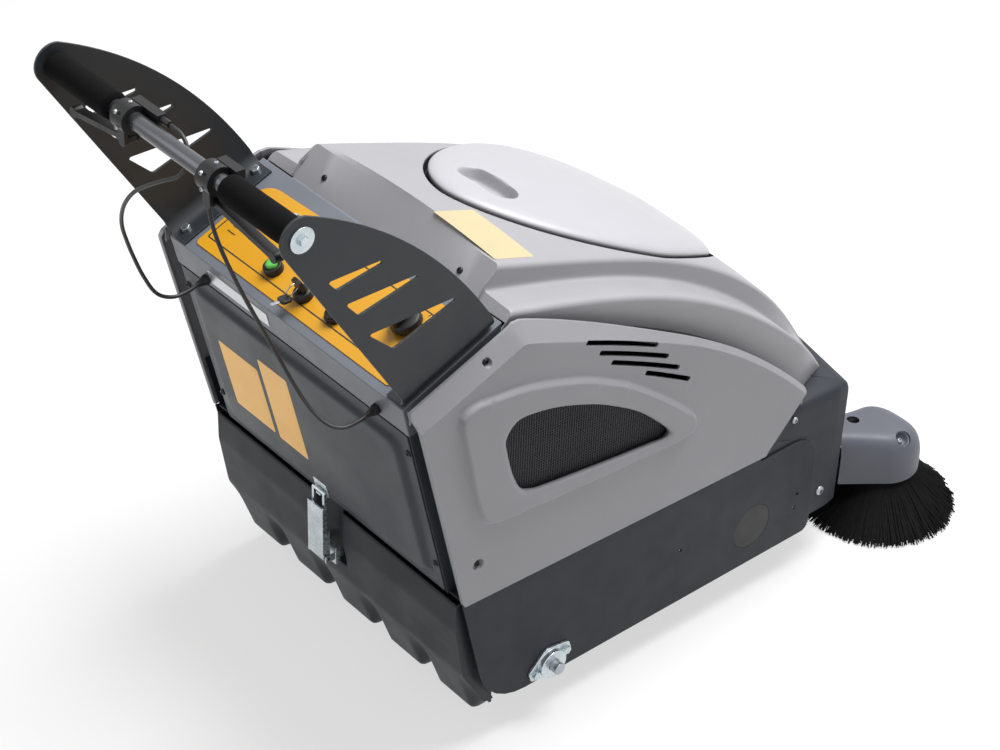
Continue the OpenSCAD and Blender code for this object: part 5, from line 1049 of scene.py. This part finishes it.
lobe_side, trough_side = hopper_side(48), hopper_side(72)
skin = []
for x in span(-HOPPER_X, HOPPER_X, 150):
    f = 1 - step_up((min(abs(x - (i - 2) * LOBE_PITCH) for i in range(5)) - 34) / 24)
    column = []
    for p, q in zip(lobe_side, trough_side):
        y, z = p[0] * f + q[0] * (1 - f), p[1] * f + q[1] * (1 - f)
        y += 7 * (1 - f) * step_up((150 - z) / 60)
        pocket = step_up((34 - abs(x + 8)) / 5) * step_up((z - 182) / 6)
        column.append((x, y + 12 * pocket, z))
    skin.append(column)
hopper = Solid().loft(skin, closed=False)
for row in (skin[0], skin[-1]):
    hopper.loft([row, [(row[0][0], HOPPER_Y, p[2]) for p in row]], closed=False)
for s in (-INNER_X, INNER_X):
    wide = copysign(HOPPER_X, s)
    hopper.face([(s, HOPPER_Y, 66), (wide, HOPPER_Y, 66), (wide, HOPPER_Y, HOPPER_Z), (s, HOPPER_Y, HOPPER_Z)])
    hopper.face([(s, *p) for p in ((HOPPER_Y, HOPPER_Z), (HOPPER_Y, 68), (-32, 68), (-32, 125), (262, 125), (262, 141),
                                   (255, HOPPER_Z))])
bed = rounded([(-112, 68, 0), (-32, 68, 6), (-32, 125, 6), (262, 125, 4), (262, 141, 0)])
hopper.loft([[(x, *p) for p in bed] for x in (-INNER_X, INNER_X)], closed=False)
remade("hopper", hopper, "hopper_plastic", wall=4, angle=40)
mount = Solid()
for x in (-31, 12):
    mount.block(Matrix(), (x, -201, 200), (x + 3, -160, 212))
mount.block(Matrix(), (-32, -183, 190), (16, -174, 222))
mount.lathe(along_x(-31, -195, 206), ((3, 0), (3, 46)), 20)
piece("latch_mount", mount, "zinc", "hopper", bevel=0.6)

# ---- latch, side plates and running gear
for name, finish, width in (
        ("latch_lever", "zinc", 0.9), ("latch_bail", "zinc", 0.9), ("latch_keeper", "zinc", 0.7),
        ("right_side_plate", "dark_plate", 0.9), ("left_side_plate", "dark_plate", 0.9),
        ("side_plate_plugs", "black_plastic", 0.9), ("axle_bearings", "zinc", 1.2), ("drive_axle", "steel", 1.2),
        ("brush_bearings", "steel", 1.0), ("castor_fork", "zinc", 1.0), ("wheel_hubs", "hub_alloy", 1.0),
        ("side_brush_disc", "black_plastic", 1.5), ("side_brush_motor", "motor_paint", 1.5),
        ("drive_motor", "motor_paint", 2.0), ("battery", "battery_case", 3.0), ("suction_fan", "motor_paint", 3.0),
        ("panel_filter", "filter_paper", 0.8), ("brush_belt", "belt_rubber", 0.8), ("brush_pulley", "hub_alloy", 0.4),
        ("motor_pulley", "hub_alloy", 0.4), ("main_brush_core", "roller_core", 1.0),
        ("chassis_deck", "deck_paint", 0.7)):
    soften(name, finish, width)


def treaded(name, xs, y, z, r, w, hub, blocks):
    """A rubber tyre with cross grooves on its tread."""
    tyres = Solid()
    rows = ((hub, 0, 0), (r - 9, 0, 0), (r - 3, 1.5, 0.6), (r, 6, 2.2), (r, w * 0.42, 2.2), (r - 1, w * 0.45, 1),
            (r - 1, w * 0.55, 1), (r, w * 0.58, 2.2), (r, w - 6, 2.2), (r - 3, w - 1.5, 0.6), (r - 9, w, 0),
            (hub, w, 0), (hub, 0, 0))
    for x in xs:
        tyres.loft(notched(along_x(x - w / 2, y, z), rows, blocks * 4, 4))
    remade(name, tyres, "tyre_black", angle=30)


treaded("wheel_tyres", (-220, 220), 0, 100, 100, 50, 74.1, 36)
treaded("castor_wheel", (0,), 652, 40, 40, 32, 6.1, 24)
skirt_rows = []
for x in span(-250, 250, 120):
    wave = 1.6 * sin(x / 31) + 0.9 * sin(x / 13 + 1)
    skirt_rows.append([(x, 595 + wave * (1 - t) ** 1.5, 4 + 146 * t) for t in span(0, 1, 12)])
remade("front_skirt", Solid().loft(skirt_rows, closed=False), "skirt_rubber", wall=3.4, inward=0)

# ---- bristles
ROLLER_X, CORE_R, ROLLER_R, TUFT_ROWS, ROW_STRANDS = 244, 46, 141, 10, 150
SWEEP_STRANDS, SWEEP_TOP, GOLDEN = 6400, 76, 2.39996
roller = Solid()
for row in range(TUFT_ROWS):
    a = 2 * pi * (row + 0.5) / TUFT_ROWS
    for k in range(ROW_STRANDS):
        x = -ROLLER_X + 2 * ROLLER_X * (k + 0.5) / ROW_STRANDS + rng.uniform(-1.2, 1.2)
        b = a + rng.uniform(-0.035, 0.035)
        tip_r = ROLLER_R - rng.uniform(0, 3.5)
        lean_x, lean_a = rng.uniform(-3, 3), rng.uniform(-0.035, 0.035)
        strand(roller, [Vector((x + lean_x * t * t, *polar(CORE_R + (tip_r - CORE_R) * t, b + lean_a * t,
                                                           (BRUSH_Y, BRUSH_Z)))) for t in (0, 0.5, 1)], 1.5, 1.0)
roller.lathe(along_x(-245, BRUSH_Y, BRUSH_Z), ((45.2, 0), (48, 1), (48, 489), (45.2, 490)), 48, start=False, end=False)
remade("main_brush_bristles", roller, "bristle_black")
sweep = Solid()
for k in range(SWEEP_STRANDS):
    a = GOLDEN * k + rng.uniform(0, 0.02)
    lane = rng.random() ** 0.6
    r0 = 38 + 20 * lane + rng.uniform(-1.5, 1.5)
    r1 = (76 + 66 * lane) * (1 + rng.uniform(-0.025, 0.012))
    twist = rng.uniform(-0.07, 0.07)
    foot_z = 1.2 + rng.uniform(0, 5) * (0.4 + lane)
    strand(sweep, [Vector((*polar(r0 + (r1 - r0) * (0.72 * t + 0.28 * t * t), a + twist * t * t, SWEEP),
                           SWEEP_TOP + (foot_z - SWEEP_TOP) * (0.8 * t + 0.2 * t * t))) for t in (0, 0.3, 0.65, 1)],
           1.3, 1.0)
sweep.lathe(Matrix.Translation((*SWEEP, 0)), ((36, 72.8), (58, 72.8), (58, 76), (36, 76), (36, 72.8)), 48, start=False,
            end=False)
remade("side_brush_bristles", sweep, "bristle_black")

# ---- side brush arm: a helmet that necks into the cowl
RIM_SB, TOP_SB, DOME_R, NECK_Y, NECK_LEFT, NECK_RIGHT = 84.0, 172.0, 67.0, 690.0, 190, 273
right_end = polar(DOME_R, radians(-41), SWEEP)
left_end = (SWEEP[0] - DOME_R, SWEEP[1])


def helmet_edge(y, end, root_x, s):
    """X of one flank of the helmet: a straight run to the dome's side, then the dome's circle."""
    if y < end[1]:
        return root_x + (end[0] - root_x) * (y - NECK_Y) / (end[1] - NECK_Y)
    return SWEEP[0] + s * sqrt(max(0.0, DOME_R ** 2 - (y - SWEEP[1]) ** 2))


helmet_rows = []
for t in span(0, 1, 48):
    y = NECK_Y + (SWEEP[1] + DOME_R - 0.05 - NECK_Y) * (1 - (1 - t) ** 1.8)
    xl, xr = helmet_edge(y, left_end, NECK_LEFT, -1), helmet_edge(y, right_end, NECK_RIGHT, 1)
    ahead = max(0.0, y - SWEEP[1]) / DOME_R
    tall = (TOP_SB + 7 * (1 - step_up((y - NECK_Y) / 110)) - RIM_SB) * max(0.0, 1 - ahead ** 2.3) ** (1 / 2.1)
    bent = 2 / (4.6 - 2.2 * ahead)
    helmet_rows.append([((xl + xr) / 2 + (xr - xl) / 2 * copysign(abs(cos(a)) ** bent, cos(a)), y,
                         RIM_SB + tall * abs(sin(a)) ** bent) for a in span(pi, 0, 36)])
helmet = remade("side_brush_arm", Solid().loft(helmet_rows, closed=False), "dark_plastic", wall=3.2, angle=60)
well_at = Matrix.Translation((240, 748, 150))
cut(helmet, Solid().lathe(well_at, ((11, 0), (11, 60)), 28))
# The hole's lining takes a near-black finish: painted shade inside the hole
well = Solid().lathe(well_at, ((0.5, 0), (10.2, 0), (10.8, 4), (10.8, 19)), 28, start=False, end=False)
piece("arm_top_well", well, "screw_black", "side_brush_arm", wall=0.8, inward=-1, angle=50)
dimple_out = Vector((0.62, -0.06, 0.78)).normalized()


def in_dimple(depth):
    return facing(Vector((319, 788, 163)) - dimple_out * depth, dimple_out)


cut(helmet, Solid().lathe(in_dimple(30), ((13, 0), (13, 22), (14.5, 30), (16, 60)), 32))
cup = Solid().lathe(in_dimple(12), ((0.5, 0), (6, 0), (9, 2), (11.6, 6), (13, 11)), 32, end=False, start=False)
piece("arm_screw_cup", cup, "dark_plastic", "side_brush_arm", wall=0.8, inward=-1, angle=50)
piece("arm_screw", socket_screw(Solid(), in_dimple(11.8), 5.5, 3.5), "steel", "side_brush_arm")
beam = Solid().lathe(along_x(ARM_HINGE[0] - 24, *ARM_HINGE[1:]), ((5.2, 0), (10, 0), (10, 48), (5.2, 48)), 32,
                     start=False, end=False)
beam.block(Matrix(), (217, 644, 157), (263, 700, 170))
piece("arm_beam", beam, "dark_plastic", "side_brush_arm", bevel=2)


# ---- stage and light
def seen_ray(tree, scale):
    """Camera, glossy and transmission rays as one value from 0 to scale."""
    path = tree.nodes.new("ShaderNodeLightPath")
    value = path.outputs["Is Camera Ray"]
    for name in ("Is Glossy Ray", "Is Transmission Ray"):
        value = node(tree, "Math", {0: value, 1: path.outputs[name]}, operation="MAXIMUM")
    return node(tree, "Math", {0: value, 1: scale}, operation="MULTIPLY")


WHITE = (1, 1, 1, 1)
floor_mesh = bpy.data.meshes.new("floor")
floor_mesh.from_pydata([(-30, -30, 0), (30, -30, 0), (30, 30, 0), (-30, 30, 0)], [], [(0, 1, 2, 3)])
floor_mat = bpy.data.materials.new("floor_pale")
floor_mat.use_nodes = True
tree = floor_mat.node_tree
tree.nodes.clear()
pale = node(tree, "BsdfDiffuse", {"Color": (0.9, 0.9, 0.9, 1)})
glow = node(tree, "Emission", {"Color": WHITE})
node(tree, "OutputMaterial", {0: node(tree, "MixShader", {0: seen_ray(tree, 0.62), 1: pale, 2: glow})})
floor_mesh.materials.append(floor_mat)
floor = bpy.data.objects.new("floor", floor_mesh)
scene.collection.objects.link(floor)

world = bpy.data.worlds.new("studio")
scene.world = world
world.use_nodes = True
tree = world.node_tree
tree.nodes.clear()
strength = node(tree, "Math", {0: seen_ray(tree, 0.78), 1: 0.22}, operation="ADD")
node(tree, "OutputWorld", {0: node(tree, "Background", {"Color": WHITE, "Strength": strength})})
for name, at, aim, size, power in (("key", (0.25, 1.3, 4.0), (0, 0.2, 0.4), 2.4, 258),
                                   ("fill", (3.2, -0.6, 2.0), (0, 0.1, 0.4), 2.4, 14),
                                   ("rear", (-2.0, -2.6, 2.6), (0, 0, 0.6), 2.0, 16)):
    lamp = bpy.data.lights.new(name, "AREA")
    lamp.shape, lamp.size, lamp.energy = "SQUARE", size, power
    o = bpy.data.objects.new(name, lamp)
    o.location = at
    o.rotation_euler = (Vector(aim) - Vector(at)).to_track_quat("-Z", "Y").to_euler()
    scene.collection.objects.link(o)
scene.view_settings.view_transform = "Standard"
